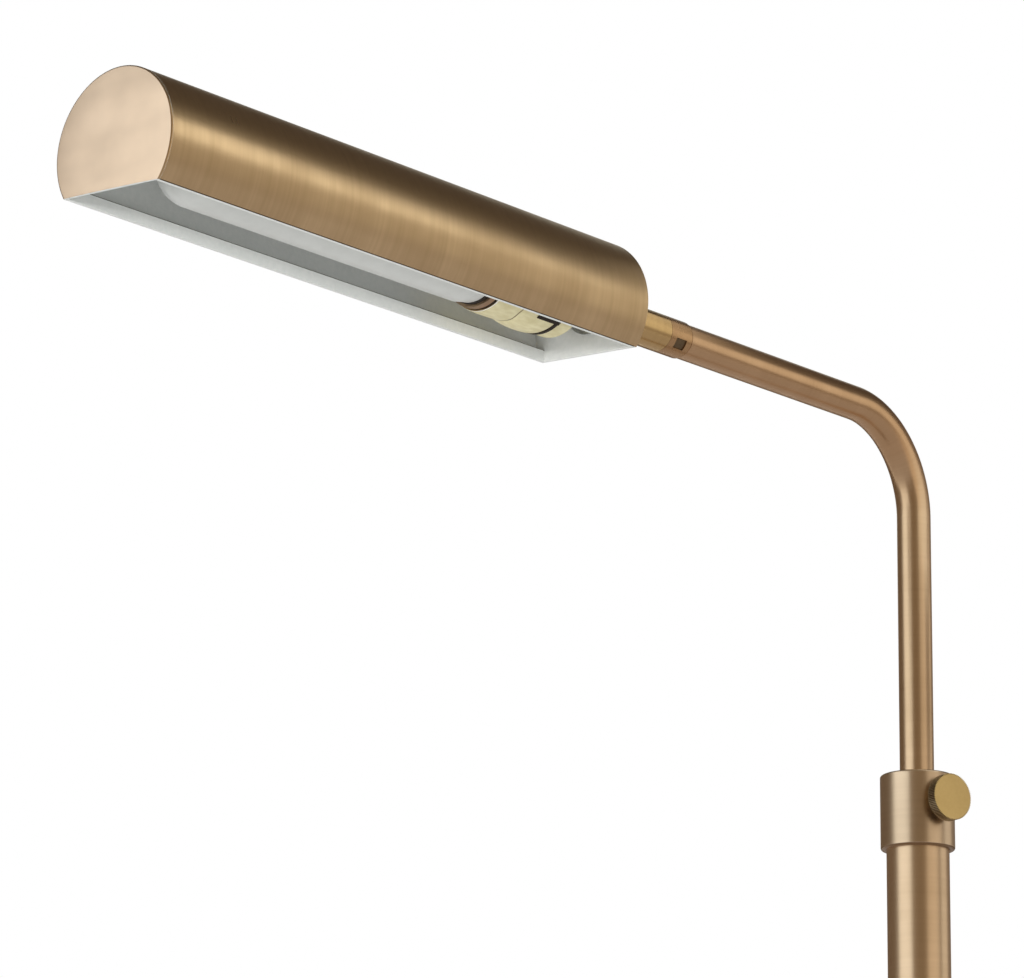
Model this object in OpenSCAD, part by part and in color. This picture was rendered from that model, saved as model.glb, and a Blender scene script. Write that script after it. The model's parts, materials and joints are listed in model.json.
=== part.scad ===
// Floor lamp: round weighted base with a foot switch, a pole with a lock collar,
// a bent arm that rises and swings, and a trough shade that rolls about the arm.
// Millimetres. +Z is up, the origin is the centre of the base's underside,
// and the arm points along -X.

/* [Base] */
// Diameter of the base cover
base_d = 250; // [220:1:320]
// Height of the base from the floor to the top of its cover
base_h = 25; // [24:0.5:36]
// Sheet thickness of the base cover
cover_t = 1.2; // [0.8:0.1:2]
// Outer rounding of the cover's top edge
cover_edge = 5; // [3:0.5:9]
// Height of the cover's lower edge above the floor
cover_lift = 1.5; // [0.5:0.1:2.5]
// Thickness of the felt pad
pad_t = 2; // [1.5:0.1:4]
// How far the pad stays inside the weight's edge
pad_inset = 4; // [2:1:20]
// Gap between the iron weight and the cover's wall
weight_gap = 1; // [0.5:0.1:2]
// Width of the wiring groove under the weight
groove_w = 11; // [11:0.5:16]

/* [Base fixing] */
// Outside diameter of the hollow threaded nipple
nipple_d = 10; // [9:0.5:12]
// Bore of the nipple
nipple_bore = 7; // [6:0.1:7.5]
// Width across the flats of the nipple's nut
base_nut_af = 17; // [17:0.5:20]
// Thickness of the nipple's nut
base_nut_t = 6; // [4:0.5:7]
// Diameter of the washer over the nut
base_washer_d = 30; // [26:1:36]
// Thickness of the washer over the nut
base_washer_t = 1.5; // [1:0.1:2]
// Iron left above the nut's pocket
nut_web = 5; // [4:0.5:6]
// How far the nipple stands out below its nut
nipple_tail = 0.5; // [0.3:0.1:1]
// Gap round the washer in its pocket
pocket_gap = 1; // [0.5:0.1:2]

/* [Cord inlet] */
// Bore of the cord bush
inlet_bore = 7; // [6:0.1:8]
// Diameter of the cord bush in the cover's wall
inlet_d = 10; // [9.5:0.1:10.5]
// Diameter of the bush's flange
inlet_flange_d = 13; // [12:0.5:15]
// Thickness of the bush's flange
inlet_flange_t = 2; // [1:0.1:3]
// Length of the bush inside the cover's wall
inlet_len = 9; // [6:0.5:14]
// Height of the bush's axis above the floor
inlet_z = 10; // [9.5:0.1:10.5]

/* [Foot switch] */
// Distance of the switch's axis from the base's edge
switch_inset = 40; // [30:1:65]
// Diameter of the switch body
switch_d = 26; // [25:0.5:32]
// Depth of the switch body
switch_depth = 14.5; // [14:0.1:15.5]
// Wall of the switch body
switch_wall = 2; // [1.5:0.1:3]
// Diameter of the two terminals
terminal_d = 3; // [2:0.1:3.4]
// Diameter of the contact plates on the terminals
contact_d = 4; // [3.5:0.1:4.4]
// Distance of the terminals from the switch's axis
terminal_r = 3.5; // [3:0.1:3.8]
// Diameter of the threaded neck
neck_d = 16; // [15:0.1:18]
// Thickness of the neck's flange
neck_flange_t = 1.5; // [1:0.1:2]
// Diameter of the round nut on the neck
bezel_d = 22; // [20:0.5:26]
// Height of the round nut
bezel_h = 3; // [2:0.1:4]
// Rounding of the round nut's top edge
bezel_edge = 1; // [0.5:0.1:1.5]
// Diameter of the push button
button_d = 12; // [10:0.1:13]
// Height of the button above the round nut
button_rise = 5; // [4:0.1:8]
// Rounding of the button's top edge
button_edge = 1.2; // [0.5:0.1:2]
// Depth that the button can be pushed before its plunger meets the contacts
button_travel = 3.5; // [2.5:0.1:3.8]
// Diameter of that plunger
plunger_d = 9; // [7:0.1:10]
// Thickness of the flange that keeps the button in
button_flange_t = 1.5; // [1:0.1:2]
// How far that flange reaches past the return spring
flange_margin = 0.5; // [0.2:0.1:1]
// Outside diameter of the return spring
spring_d = 14; // [13:0.1:15]
// Wire diameter of the return spring
spring_wire = 0.9; // [0.7:0.1:1]
// Turns of the return spring
spring_turns = 5; // [4:1:6]

/* [Pole] */
// Outside diameter of the pole
pole_d = 22; // [20:0.1:24]
// Wall of the pole
pole_wall = 1.2; // [1:0.1:1.6]
// Height of the collar's top above the floor
collar_top = 1120; // [950:1:1300]
// Length of the sleeve that joins the two pole tubes
sleeve_len = 60; // [40:1:90]
// Wall of that sleeve
sleeve_wall = 2; // [1.5:0.1:3]
// Room between the riser at its lowest and the pole joint
joint_room = 75; // [50:1:120]
// Diameter of the foot that holds the pole
foot_d = 30; // [27:0.5:40]
// Height of the pole foot
foot_h = 16; // [13:0.5:30]
// Thickness of the foot's floor
foot_floor = 5; // [4:0.5:8]
// Rounding of the foot's top edge
foot_edge = 1.5; // [0.5:0.1:2]

/* [Collar] */
// Outside diameter of the collar
collar_d = 26; // [25.5:0.1:30]
// Height of the collar
collar_h = 26.4; // [26:0.1:40]
// Rounding of the collar's edges
collar_edge = 0.8; // [0.3:0.1:1]
// Depth of the pole's seat in the collar
pole_seat = 12; // [8:0.5:12.4]

/* [Lock knob] */
// Diameter of the knurled knob
knob_d = 16.3; // [12:0.1:18]
// Thickness of the knob
knob_t = 4; // [3:0.1:6]
// Gap between the collar and the back of the knob
knob_gap = 2.9; // [2:0.1:5]
// Depth of the knob's axis below the collar's top
knob_drop = 10.4; // [9:0.1:11]
// Direction of the knob round the pole, from +X
knob_angle = -105.5; // [-180:0.5:180]
// Number of knurls on the knob
knurls = 64; // [40:1:90]
// Depth of the knurls
knurl_depth = 0.3; // [0.1:0.05:0.4]
// Bevel on the knob's edges
knob_bevel = 0.3; // [0.2:0.1:0.8]
// Step from the knurls' roots down to the knob's plain ends
knurl_step = 0.1; // [0.05:0.05:0.3]
// Diameter of the lock screw
screw_d = 5; // [4:0.1:5.2]
// Diameter of the screw's neck behind the knob
screw_neck_d = 8; // [6:0.1:10]
// Gap between the collar and the screw's neck
neck_gap = 0.6; // [0.3:0.1:1]
// Depth of the screw's end in the knob
screw_in_knob = 2.4; // [1.5:0.1:2.5]
// Length of the clamp shoe before the screw's tip
shoe_len = 2.2; // [1.5:0.1:3]

/* [Arm] */
// Outside diameter of the arm tube
arm_d = 12; // [11.5:0.1:13]
// Wall of the arm tube
arm_wall = 1; // [0.8:0.1:1.2]
// Height of the arm's axis above the collar's top
arm_rise = 128.5; // [122:0.5:300]
// Radius of the bend on the tube's centre line
bend_r = 35; // [25:0.5:38]
// Distance from the pole's axis to the shade
arm_reach = 178; // [160:1:300]
// Length of the riser below the collar's top
riser_in = 370; // [250:1:450]
// How far the arm can be lowered from here
arm_drop = 85; // [40:1:85]

/* [Riser guides] */
// Length of the guide sleeve in the top of the pole
top_guide_len = 30; // [15:1:60]
// Length of the glide bush on the riser's lower end
glide_len = 24; // [15:1:50]
// Height of the rings that hold the glide bush
keeper_t = 1; // [0.6:0.1:2]
// Width of those rings
keeper_w = 1.2; // [0.8:0.1:2]
// Length of riser below the lower ring
riser_tail = 3; // [1:0.5:8]
// Length of the wire plug in the riser's end
plug_len = 8; // [5:0.5:15]
// Thickness of the wire plug's flange
plug_flange_t = 1.5; // [1:0.1:3]

/* [Swivel] */
// Outside diameter of the swivel
swivel_d = 12.8; // [12.6:0.1:15]
// Length of the coupler's ring on the arm
coupler_len = 11.3; // [10:0.1:14]
// Length of the coupler's spigot in the arm tube
coupler_in = 12; // [8:0.5:20]
// Length of the coupler's bevel
coupler_bevel = 0.8; // [0.4:0.1:1]
// Visible length of the stub on the shade
stub_len = 34.6; // [30:0.1:45]
// Diameter of the stub's spigot in the coupler
spigot_d = 8; // [7.6:0.1:8.4]
// Bore of the stub
stub_bore = 4.4; // [4.3:0.1:4.6]
// Thickness of the spring washer
spring_washer_t = 0.4; // [0.3:0.05:0.6]
// Thickness of the round nut on the spigot
swivel_nut_t = 3.5; // [2.5:0.1:6]
// Length of the stop key along the arm
key_len = 5.2; // [4:0.1:6]
// Width of the stop key round the arm
key_w = 3.7; // [3:0.1:4.5]
// Distance from the coupler's open end to the key
key_set = 2.8; // [2:0.1:4]
// Direction of the key round the arm, from the top
key_angle = 126; // [100:1:150]
// How far the key lies below the coupler's surface
key_sunk = 0.4; // [0.2:0.1:0.8]
// Diameter of the key's tip
key_tip_d = 2; // [1.5:0.1:2.4]
// Depth of the stop groove in the spigot
stop_depth = 0.9; // [0.6:0.05:1]
// Turn of the shade each way from level
roll_stop = 100; // [60:1:120]

/* [Shade] */
// Outside diameter of the shade
shade_d = 49; // [48:0.1:60]
// Length of the shade with its end caps
shade_len = 220; // [210:1:300]
// Depth of the opening's plane below the shade's centre line
shade_cut = 13.8; // [13.5:0.1:18]
// Sheet thickness of the shade
shade_wall = 0.9; // [0.6:0.1:1.2]
// Thickness of the end caps
cap_t = 1.2; // [0.8:0.1:2]
// Bevel on the end caps' edges
cap_bevel = 0.25; // [0.1:0.05:0.4]
// Height of the turned-in lips along the opening
lip_h = 4; // [2.5:0.1:6]
// Thickness of the lips
lip_t = 0.7; // [0.5:0.1:1]
// Distance of the shade's centre line below the arm's axis
shade_drop = 2; // [0:0.1:2.5]
// Roll of the shade about the arm as it stands
shade_turn = 3.2; // [-20:0.1:20]

/* [Lamp holder] */
// Diameter of the stub's threaded end in the shade
thread_d = 10; // [9:0.1:10.5]
// Width across the flats of the nut inside the end cap
stub_nut_af = 14; // [14:0.1:17]
// Thickness of that nut
stub_nut_t = 4; // [3:0.1:6]
// Diameter of the toothed washer under the nut
tooth_washer_d = 18; // [16:0.5:22]
// Thickness of the toothed washer
tooth_washer_t = 1; // [0.5:0.1:1.5]
// Distance from the shade's rear end to the lamp holder
holder_set = 18.4; // [14:0.1:24]
// Thickness of the lamp holder's base
holder_base_t = 6.2; // [5:0.1:8]
// Diameter of the lamp holder's base
holder_base_d = 28; // [27.2:0.1:28.4]
// Depth of the stub's thread in the holder's base
thread_in = 3.1; // [2:0.1:4]
// Height of the boss inside the screw shell
boss_h = 3.9; // [3:0.1:5]
// Thickness of the boss under the centre contact
boss_floor = 1.6; // [1:0.1:2.5]
// Diameter of the dark ring between base and sleeve
ring_d = 29; // [28:0.1:29.4]
// Length of that ring
ring_t = 1.6; // [1:0.1:2.5]
// Outside diameter of the insulating sleeve
sleeve_d = 28.6; // [28.2:0.1:29]
// Length of the insulating sleeve
sleeve_h = 28.3; // [26:0.1:30]
// Width of the groove round the sleeve
sleeve_groove_w = 1.4; // [0.8:0.1:3]
// Depth of the groove round the sleeve
sleeve_groove_depth = 0.4; // [0.2:0.1:0.5]
// Wall of the brass screw shell
shell_wall = 0.4; // [0.3:0.05:0.5]
// Diameter of the screws in the holder's base
holder_screw_d = 3; // [2.5:0.1:3.5]
// Distance of those screws from the axis
holder_screw_r = 9; // [8.8:0.1:9.6]
// Diameter of those screws' heads
holder_head_d = 5.5; // [4.5:0.1:6]
// Height of those screws' heads
holder_head_h = 2; // [1:0.1:2.5]
// Height of the centre contact
contact_h = 2.5; // [2:0.1:3.5]

/* [Bulb] */
// Diameter of the bulb's glass tube
bulb_d = 25.4; // [24:0.1:26]
// Distance from the shade's rear end to the glass
glass_set = 58.8; // [58:0.1:60]
// Length of the glass that shows
glass_len = 138.4; // [120:0.1:142]
// Thickness of the glass
glass_t = 1; // [0.7:0.1:1.3]
// Diameter of the glass neck
neck_glass_d = 23.6; // [22.5:0.1:23.8]
// Length of the neck's shoulder
shoulder_len = 5; // [4:0.1:8]
// Depth of the neck inside the screw cap
neck_in = 8; // [5:0.1:12]
// Diameter of the screw cap
screw_cap_d = 26.2; // [26:0.1:26.4]
// Wall of the screw cap
screw_cap_wall = 0.4; // [0.3:0.05:0.6]
// Thickness of the rim that holds the neck
cap_rim_t = 0.8; // [0.5:0.1:1.2]
// Height of the tip contact
tip_h = 2; // [1.5:0.1:2.5]
// Diameter of the tip contact
tip_d = 9.6; // [8:0.1:11]
// Height of the insulator's cone
cone_h = 3; // [2:0.1:4]
// Depth of the insulator inside the screw cap
insulator_in = 2; // [1:0.1:4]

/* [Wiring] */
// Diameter of the two-core flex inside the lamp
flex_d = 4; // [3:0.1:4.2]
// Radius of the flex's bend into the nipple
flex_bend = 8; // [7.5:0.1:9]
// Height of the flex above the felt pad
flex_lift = 2.5; // [2.2:0.1:3]
// Length of flex below the wire plug
flex_tail = 1.5; // [1:0.1:5]
// Room above the flex in the pole when the arm is lowest
flex_room = 15; // [8:1:40]
// Gap between the flex in the arm and the flex in the shade
flex_twist_gap = 1.5; // [0.5:0.1:3]
// Thickness of the contact plates in the switch and the lamp holder
contact_t = 0.8; // [0.5:0.1:1]

/* [Fits] */
// Radial clearance of parts that turn or slide in each other
run_gap = 0.06; // [0.03:0.01:0.1]
// Radial clearance of the glide bush in the pole
glide_gap = 0.09; // [0.05:0.01:0.1]
// Gap between faces that pass each other
face_gap = 0.1; // [0.05:0.05:0.2]
// Radial clearance of pieces laid loosely in their pockets
loose_gap = 0.2; // [0.1:0.05:0.4]

/* [Hidden] */
$fn = 96;

BRASS = "#9c7f58";
DARK_BRASS = "#6f5636";
YELLOW_BRASS = "#b89a5e";
PALE_BRASS = "#d8bf9a";
STEEL = "#8d8f92";
IRON = "#3d3e40";
FELT = "#2c2b2a";
PHENOLIC = "#221f1d";
NYLON = "#e8e4d8";
CREAM = "#d9cd9c";
OPAL = "#eef0ee";

// Cuts run past the faces that they open by this much
over = 1;

arm_z = collar_top + arm_rise;
arm_r = arm_d / 2;
arm_bore = arm_d - 2 * arm_wall;
pole_bore = pole_d - 2 * pole_wall;

cover_under = base_h - cover_t;
weight_d = base_d - 2 * cover_t - 2 * weight_gap;
nut_seat = cover_under - nut_web;
nipple_low = nut_seat - base_washer_t - base_nut_t - nipple_tail;
nut_pocket_d = base_washer_d + 2 * pocket_gap;
groove_top = inlet_z + inlet_d / 2 + loose_gap;
flex_z = pad_t + flex_lift;

switch_r = base_d / 2 - switch_inset;
neck_flange_d = switch_d;
neck_bore = button_d + 2 * run_gap;
switch_top = cover_under - neck_flange_t;
switch_low = switch_top - switch_depth;
switch_bore = switch_d - 2 * switch_wall;
contact_z = switch_low + switch_wall;
button_flange_d = spring_d + 2 * flange_margin;
button_flange_z = switch_top - loose_gap - button_flange_t;
plunger_low = contact_z + contact_t + face_gap + button_travel;

pole_low = base_h + foot_floor;
collar_low = collar_top - collar_h;
pole_top = collar_low + pole_seat;
riser_low = collar_top - riser_in;
pole_joint = riser_low - arm_drop - joint_room;
plug_low = riser_low - plug_flange_t;
flex_top = plug_low - arm_drop - flex_room;

keeper_low = riser_low + riser_tail;
glide_low = keeper_low + keeper_t + face_gap;
keeper_high = glide_low + glide_len + face_gap;

knob_back = collar_d / 2 + knob_gap;
screw_tip = arm_r + run_gap + shoe_len + face_gap;
neck_start = collar_d / 2 + neck_gap;

swivel_r = swivel_d / 2;
seam = arm_reach - stub_len;
coupler_back = seam - coupler_len;
coupler_end = coupler_back - coupler_in;
washer_start = coupler_end - face_gap - spring_washer_t;
spigot_end = washer_start - swivel_nut_t;
coupler_bore = spigot_d + 2 * run_gap;
key_mid = seam - key_set - key_len / 2;
key_tip_r = spigot_d / 2 - stop_depth + face_gap;
groove_half = roll_stop + asin((key_tip_d / 2 + face_gap) / key_tip_r);

shade_r = shade_d / 2;
half_chord = sqrt(shade_r * shade_r - shade_cut * shade_cut);
rim_level = -shade_drop - shade_cut;
shell_len = shade_len - 2 * cap_t;

holder_front = holder_set + holder_base_t;
boss_front = holder_front + boss_h;
flex_seat = boss_front - boss_floor;
thread_end = holder_set + thread_in;
sleeve_start = holder_front + ring_t;
shell_ri = screw_cap_d / 2 + run_gap;
shell_ro = shell_ri + shell_wall;
shell_end = sleeve_start + sleeve_h;
tip_start = boss_front + contact_h;
cone_start = tip_start + tip_h;
cap_start = cone_start + cone_h;
cap_ri = screw_cap_d / 2 - screw_cap_wall;
dome_centre = glass_set + glass_len - bulb_d / 2;

// A straight tube standing on z = 0
module tube(d, bore, h) {
  difference() {
    cylinder(d = d, h = h);
    translate([0, 0, -over])
      cylinder(d = bore, h = h + 2 * over);
  }
}

// A rod between two heights
module rod(d, low, high) {
  translate([0, 0, low])
    cylinder(d = d, h = high - low);
}

// Half section of a disc whose outer top edge is round
module round_top(r, h, edge) {
  square([r - edge, h]);
  square([r, h - edge]);
  translate([r - edge, h - edge])
    circle(edge);
}

// Half section of a ring whose outer edges are round at both ends
module round_both(ri, ro, h, edge) {
  translate([ri, 0])
    square([ro - ri - edge, h]);
  translate([ri, edge])
    square([ro - ri, h - 2 * edge]);
  for (level = [edge, h - edge])
    translate([ro - edge, level])
      circle(edge);
}

// Places a piece at a distance along the arm: local Z runs along the arm,
// local X is up and local Y is +Y
module on_arm(along) {
  translate([-along, 0, arm_z])
    rotate([0, -90, 0])
      children();
}

// As on_arm, counted from the shade's rear end and rolled with the shade
module in_shade(along) {
  translate([-arm_reach - along, 0, arm_z])
    rotate([shade_turn, 0, 0])
      rotate([0, -90, 0])
        children();
}

// Places a piece on the lock screw's axis: local Z points out of the collar
module on_screw(out) {
  translate([0, 0, collar_top - knob_drop])
    rotate([0, 0, knob_angle])
      translate([out, 0, 0])
        rotate([0, 90, 0])
          children();
}

// Places a piece on the foot switch's axis
module at_switch(z) {
  translate([0, -switch_r, z])
    children();
}

// The arm's centre line as a round bar of diameter d, from a height on the
// riser to a distance along the arm
module arm_bar(d, low, far) {
  rod(d, low, arm_z - bend_r);
  translate([-bend_r, 0, arm_z - bend_r])
    rotate([90, 0, 0])
      rotate_extrude(angle = 90)
        translate([bend_r, 0])
          circle(d = d);
  on_arm(bend_r)
    cylinder(d = d, h = far - bend_r);
}

// A round wire coiled up from z = 0: one closed sweep of rings with six sides
module coil(mean_d, wire, h, turns) {
  steps = 8;
  sides = 6;
  count = turns * steps + 1;
  rise = h - wire;
  points = [
    for (i = [0 : count - 1], k = [0 : sides - 1])
      let (a = 360 * i / steps, b = 360 * k / sides, r = mean_d / 2 + wire / 2 * cos(b))
        [r * cos(a), r * sin(a), wire / 2 + rise * i / (count - 1) + wire / 2 * sin(b)]
  ];
  walls = [
    for (i = [0 : count - 2], k = [0 : sides - 1], half = [0, 1])
      let (n = (k + 1) % sides, p = i * sides, q = p + sides)
        half == 0 ? [p + k, q + k, q + n] : [p + k, q + n, p + n]
  ];
  last = (count - 1) * sides;
  ends = [
    for (k = [1 : sides - 2], far = [0, 1])
      far == 0 ? [0, k, k + 1] : [last, last + k + 1, last + k]
  ];
  polyhedron(points, concat(walls, ends));
}

// The shade's end view: a circle cut off by the opening's plane
module shade_outline() {
  difference() {
    translate([-shade_drop, 0])
      circle(shade_r);
    translate([rim_level - shade_d, -shade_d])
      square([shade_d, 2 * shade_d]);
  }
}

// An end cap of the shade with bevelled round edges
module shade_cap() {
  intersection() {
    linear_extrude(cap_t)
      shade_outline();
    translate([-shade_drop, 0, 0])
      rotate_extrude()
        polygon([
          [0, 0],
          [shade_r - cap_bevel, 0],
          [shade_r, cap_bevel],
          [shade_r, cap_t - cap_bevel],
          [shade_r - cap_bevel, cap_t],
          [0, cap_t]
        ]);
  }
}

module base_pad() {
  color(FELT)
    cylinder(d = weight_d - 2 * pad_inset, h = pad_t);
}

module base_weight() {
  weight_h = cover_under - pad_t;
  color(IRON)
    difference() {
      translate([0, 0, pad_t])
        rotate_extrude()
          round_top(weight_d / 2, weight_h, cover_edge - cover_t);
      rod(nipple_d, 0, base_h);
      rod(nut_pocket_d, 0, nut_seat);
      at_switch(0)
        cylinder(d = switch_d + 2 * loose_gap, h = base_h);
      translate([0, -groove_w / 2, 0])
        cube([base_d, groove_w, groove_top]);
      translate([-groove_w / 2, -switch_r, 0])
        cube([groove_w, switch_r, groove_top]);
    }
}

module base_cover() {
  color(BRASS)
    difference() {
      translate([0, 0, cover_lift])
        rotate_extrude()
          difference() {
            round_top(base_d / 2, base_h - cover_lift, cover_edge);
            round_top(base_d / 2 - cover_t, cover_under - cover_lift, cover_edge - cover_t);
          }
      rod(nipple_d, 0, base_h + over);
      at_switch(0)
        cylinder(d = neck_d, h = base_h + over);
      translate([0, 0, inlet_z])
        rotate([0, 90, 0])
          cylinder(d = inlet_d, h = base_d);
    }
}

module base_nipple() {
  color(STEEL)
    translate([0, 0, nipple_low])
      tube(nipple_d, nipple_bore, pole_low - nipple_low);
}

module base_washer() {
  color(STEEL)
    translate([0, 0, nut_seat - base_washer_t])
      tube(base_washer_d, nipple_d, base_washer_t);
}

module base_nut() {
  color(STEEL)
    translate([0, 0, nipple_low + nipple_tail])
      difference() {
        cylinder(d = base_nut_af / cos(30), h = base_nut_t, $fn = 6);
        rod(nipple_d, -over, base_nut_t + over);
      }
}

module cord_inlet_bush() {
  wall_x = base_d / 2;
  color(PHENOLIC)
    translate([wall_x - cover_t - inlet_len, 0, inlet_z])
      rotate([0, 90, 0])
        difference() {
          union() {
            cylinder(d = inlet_d, h = inlet_len + cover_t + inlet_flange_t);
            rod(inlet_flange_d, inlet_len + cover_t, inlet_len + cover_t + inlet_flange_t);
          }
          rod(inlet_bore, -over, inlet_len + cover_t + inlet_flange_t + over);
        }
}

// Places the switch's two terminals
module at_terminals() {
  for (side = [-1, 1])
    translate([side * terminal_r, 0, 0])
      children();
}

module switch_body() {
  color(PHENOLIC)
    at_switch(switch_low)
      difference() {
        cylinder(d = switch_d, h = switch_depth);
        rod(switch_bore, switch_wall, switch_depth + over);
        at_terminals()
          rod(terminal_d, -over, switch_wall + over);
      }
}

module switch_contacts() {
  color(YELLOW_BRASS)
    at_switch(0)
      at_terminals() {
        rod(terminal_d, flex_z - flex_d / 2, contact_z);
        rod(contact_d, contact_z, contact_z + contact_t);
      }
}

module switch_neck() {
  color(YELLOW_BRASS)
    at_switch(0)
      difference() {
        union() {
          rod(neck_flange_d, switch_top, cover_under);
          rod(neck_d, switch_top, base_h + bezel_h);
        }
        rod(neck_bore, switch_top - over, base_h + bezel_h + over);
      }
}

module switch_bezel() {
  color(BRASS)
    at_switch(base_h)
      rotate_extrude()
        difference() {
          round_top(bezel_d / 2, bezel_h, bezel_edge);
          square([neck_d / 2, bezel_h + over]);
        }
}

module switch_spring() {
  color(STEEL)
    at_switch(contact_z)
      coil(spring_d - spring_wire, spring_wire, button_flange_z - contact_z, spring_turns);
}

module foot_button() {
  button_top = base_h + bezel_h + button_rise;
  color(YELLOW_BRASS)
    at_switch(0) {
      translate([0, 0, button_flange_z])
        rotate_extrude()
          round_top(button_d / 2, button_top - button_flange_z, button_edge);
      rod(button_flange_d, button_flange_z, button_flange_z + button_flange_t);
      rod(plunger_d, plunger_low, button_flange_z + button_flange_t);
    }
}

module pole_foot() {
  color(BRASS)
    translate([0, 0, base_h])
      difference() {
        rotate_extrude()
          round_top(foot_d / 2, foot_h, foot_edge);
        rod(nipple_d, -over, foot_floor + over);
        rod(pole_d, foot_floor, foot_h + over);
      }
}

module pole_lower() {
  color(BRASS)
    translate([0, 0, pole_low])
      tube(pole_d, pole_bore, pole_joint - pole_low);
}

module pole_sleeve() {
  color(STEEL)
    translate([0, 0, pole_joint - sleeve_len / 2])
      tube(pole_bore, pole_bore - 2 * sleeve_wall, sleeve_len);
}

module pole_upper() {
  color(BRASS)
    translate([0, 0, pole_joint])
      tube(pole_d, pole_bore, pole_top - pole_joint);
}

module collar() {
  riser_bore = arm_d + 2 * run_gap;
  color(BRASS)
    difference() {
      translate([0, 0, collar_low])
        rotate_extrude()
          round_both(riser_bore / 2, collar_d / 2, collar_h, collar_edge);
      rod(pole_d, collar_low - over, pole_top);
      on_screw(0)
        cylinder(d = screw_d + 2 * run_gap, h = collar_d);
    }
}

module top_guide() {
  color(NYLON)
    translate([0, 0, pole_top - top_guide_len])
      tube(pole_bore, arm_d + 2 * run_gap, top_guide_len);
}

// Flex from the switch along the groove and up the pole
module pole_flex() {
  turn_z = flex_z + flex_bend;
  flex_start = switch_r - terminal_d / 2 - loose_gap;
  color(PHENOLIC) {
    translate([0, -flex_start, flex_z])
      rotate([-90, 0, 0])
        cylinder(d = flex_d, h = flex_start - flex_bend);
    translate([0, -flex_bend, turn_z])
      rotate([0, 90, 0])
        rotate_extrude(angle = 90)
          translate([flex_bend, 0])
            circle(d = flex_d);
    rod(flex_d, turn_z, flex_top);
  }
}

module clamp_shoe() {
  color(YELLOW_BRASS)
    difference() {
      on_screw(0)
        rod(screw_d, 0, screw_tip - face_gap);
      rod(arm_d + 2 * run_gap, collar_low, collar_top);
    }
}

module lock_screw() {
  color(YELLOW_BRASS)
    on_screw(0) {
      rod(screw_d, screw_tip, knob_back + screw_in_knob);
      rod(screw_neck_d, neck_start, knob_back);
    }
}

module lock_knob() {
  knob_r = knob_d / 2;
  root_r = knob_r - knurl_depth;
  plain_r = root_r - knurl_step;
  color(YELLOW_BRASS)
    on_screw(knob_back)
      difference() {
        union() {
          translate([0, 0, knob_bevel])
            linear_extrude(knob_t - 2 * knob_bevel)
              polygon([
                for (i = [0 : 2 * knurls - 1])
                  let (r = i % 2 == 0 ? knob_r : root_r, a = 180 * i / knurls)
                    [r * cos(a), r * sin(a)]
              ]);
          rotate_extrude()
            polygon([
              [0, 0],
              [plain_r - knob_bevel, 0],
              [plain_r, knob_bevel],
              [plain_r, knob_t - knob_bevel],
              [plain_r - knob_bevel, knob_t],
              [0, knob_t]
            ]);
        }
        rod(screw_d, -over, screw_in_knob);
      }
}

module glide_bush() {
  color(NYLON)
    translate([0, 0, glide_low])
      tube(pole_bore - 2 * glide_gap, arm_d + 2 * run_gap, glide_len);
}

module arm_tube() {
  color(BRASS)
    difference() {
      arm_bar(arm_d, riser_low, coupler_back);
      arm_bar(arm_bore, riser_low - over, coupler_back + over);
    }
}

module keeper_rings() {
  color(STEEL)
    for (level = [keeper_low, keeper_high])
      translate([0, 0, level])
        tube(arm_d + 2 * keeper_w, arm_d, keeper_t);
}

module wire_plug() {
  color(NYLON)
    difference() {
      union() {
        rod(arm_bore, riser_low, riser_low + plug_len);
        rod(arm_d, plug_low, riser_low);
      }
      rod(flex_d + 2 * loose_gap, plug_low - over, riser_low + plug_len + over);
    }
}

module arm_flex() {
  color(PHENOLIC)
    arm_bar(flex_d, plug_low - flex_tail, spigot_end - flex_twist_gap);
}

// The block of the coupler's window and of the key that fills it, from a
// distance off the arm's axis outwards
module key_block(r_in) {
  on_arm(key_mid)
    rotate([0, 0, -key_angle])
      translate([r_in, -key_w / 2, -key_len / 2])
        cube([swivel_d - r_in, key_w, key_len]);
}

module swivel_coupler() {
  color(DARK_BRASS)
    difference() {
      on_arm(coupler_end)
        rotate_extrude()
          polygon([
            [coupler_bore / 2, 0],
            [arm_bore / 2, 0],
            [arm_bore / 2, coupler_in],
            [arm_r, coupler_in],
            [swivel_r, coupler_in + coupler_bevel],
            [swivel_r, coupler_in + coupler_len],
            [coupler_bore / 2, coupler_in + coupler_len]
          ]);
      key_block(0);
    }
}

module stop_key() {
  key_head_r = swivel_r - key_sunk;
  color(IRON) {
    intersection() {
      key_block(coupler_bore / 2);
      on_arm(key_mid - key_len)
        cylinder(r = key_head_r, h = 2 * key_len);
    }
    on_arm(key_mid)
      rotate([0, 0, -key_angle])
        rotate([0, 90, 0])
          rod(key_tip_d, key_tip_r, coupler_bore / 2 + over);
  }
}

module swivel_stub() {
  groove_len = key_tip_d + 2 * face_gap;
  color(YELLOW_BRASS)
    difference() {
      in_shade(0)
        rotate_extrude()
          polygon([
            [stub_bore / 2, spigot_end - arm_reach],
            [spigot_d / 2, spigot_end - arm_reach],
            [spigot_d / 2, seam - arm_reach + face_gap],
            [swivel_r, seam - arm_reach + face_gap],
            [swivel_r, 0],
            [thread_d / 2, 0],
            [thread_d / 2, thread_end],
            [stub_bore / 2, thread_end]
          ]);
      on_arm(key_mid - groove_len / 2)
        rotate([0, 0, -key_angle - groove_half])
          rotate_extrude(angle = 2 * groove_half)
            translate([spigot_d / 2 - stop_depth, 0])
              square([stop_depth + run_gap, groove_len]);
    }
}

module spring_washer() {
  color(STEEL)
    on_arm(washer_start)
      tube(arm_bore - 2 * loose_gap, spigot_d, spring_washer_t);
}

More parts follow.
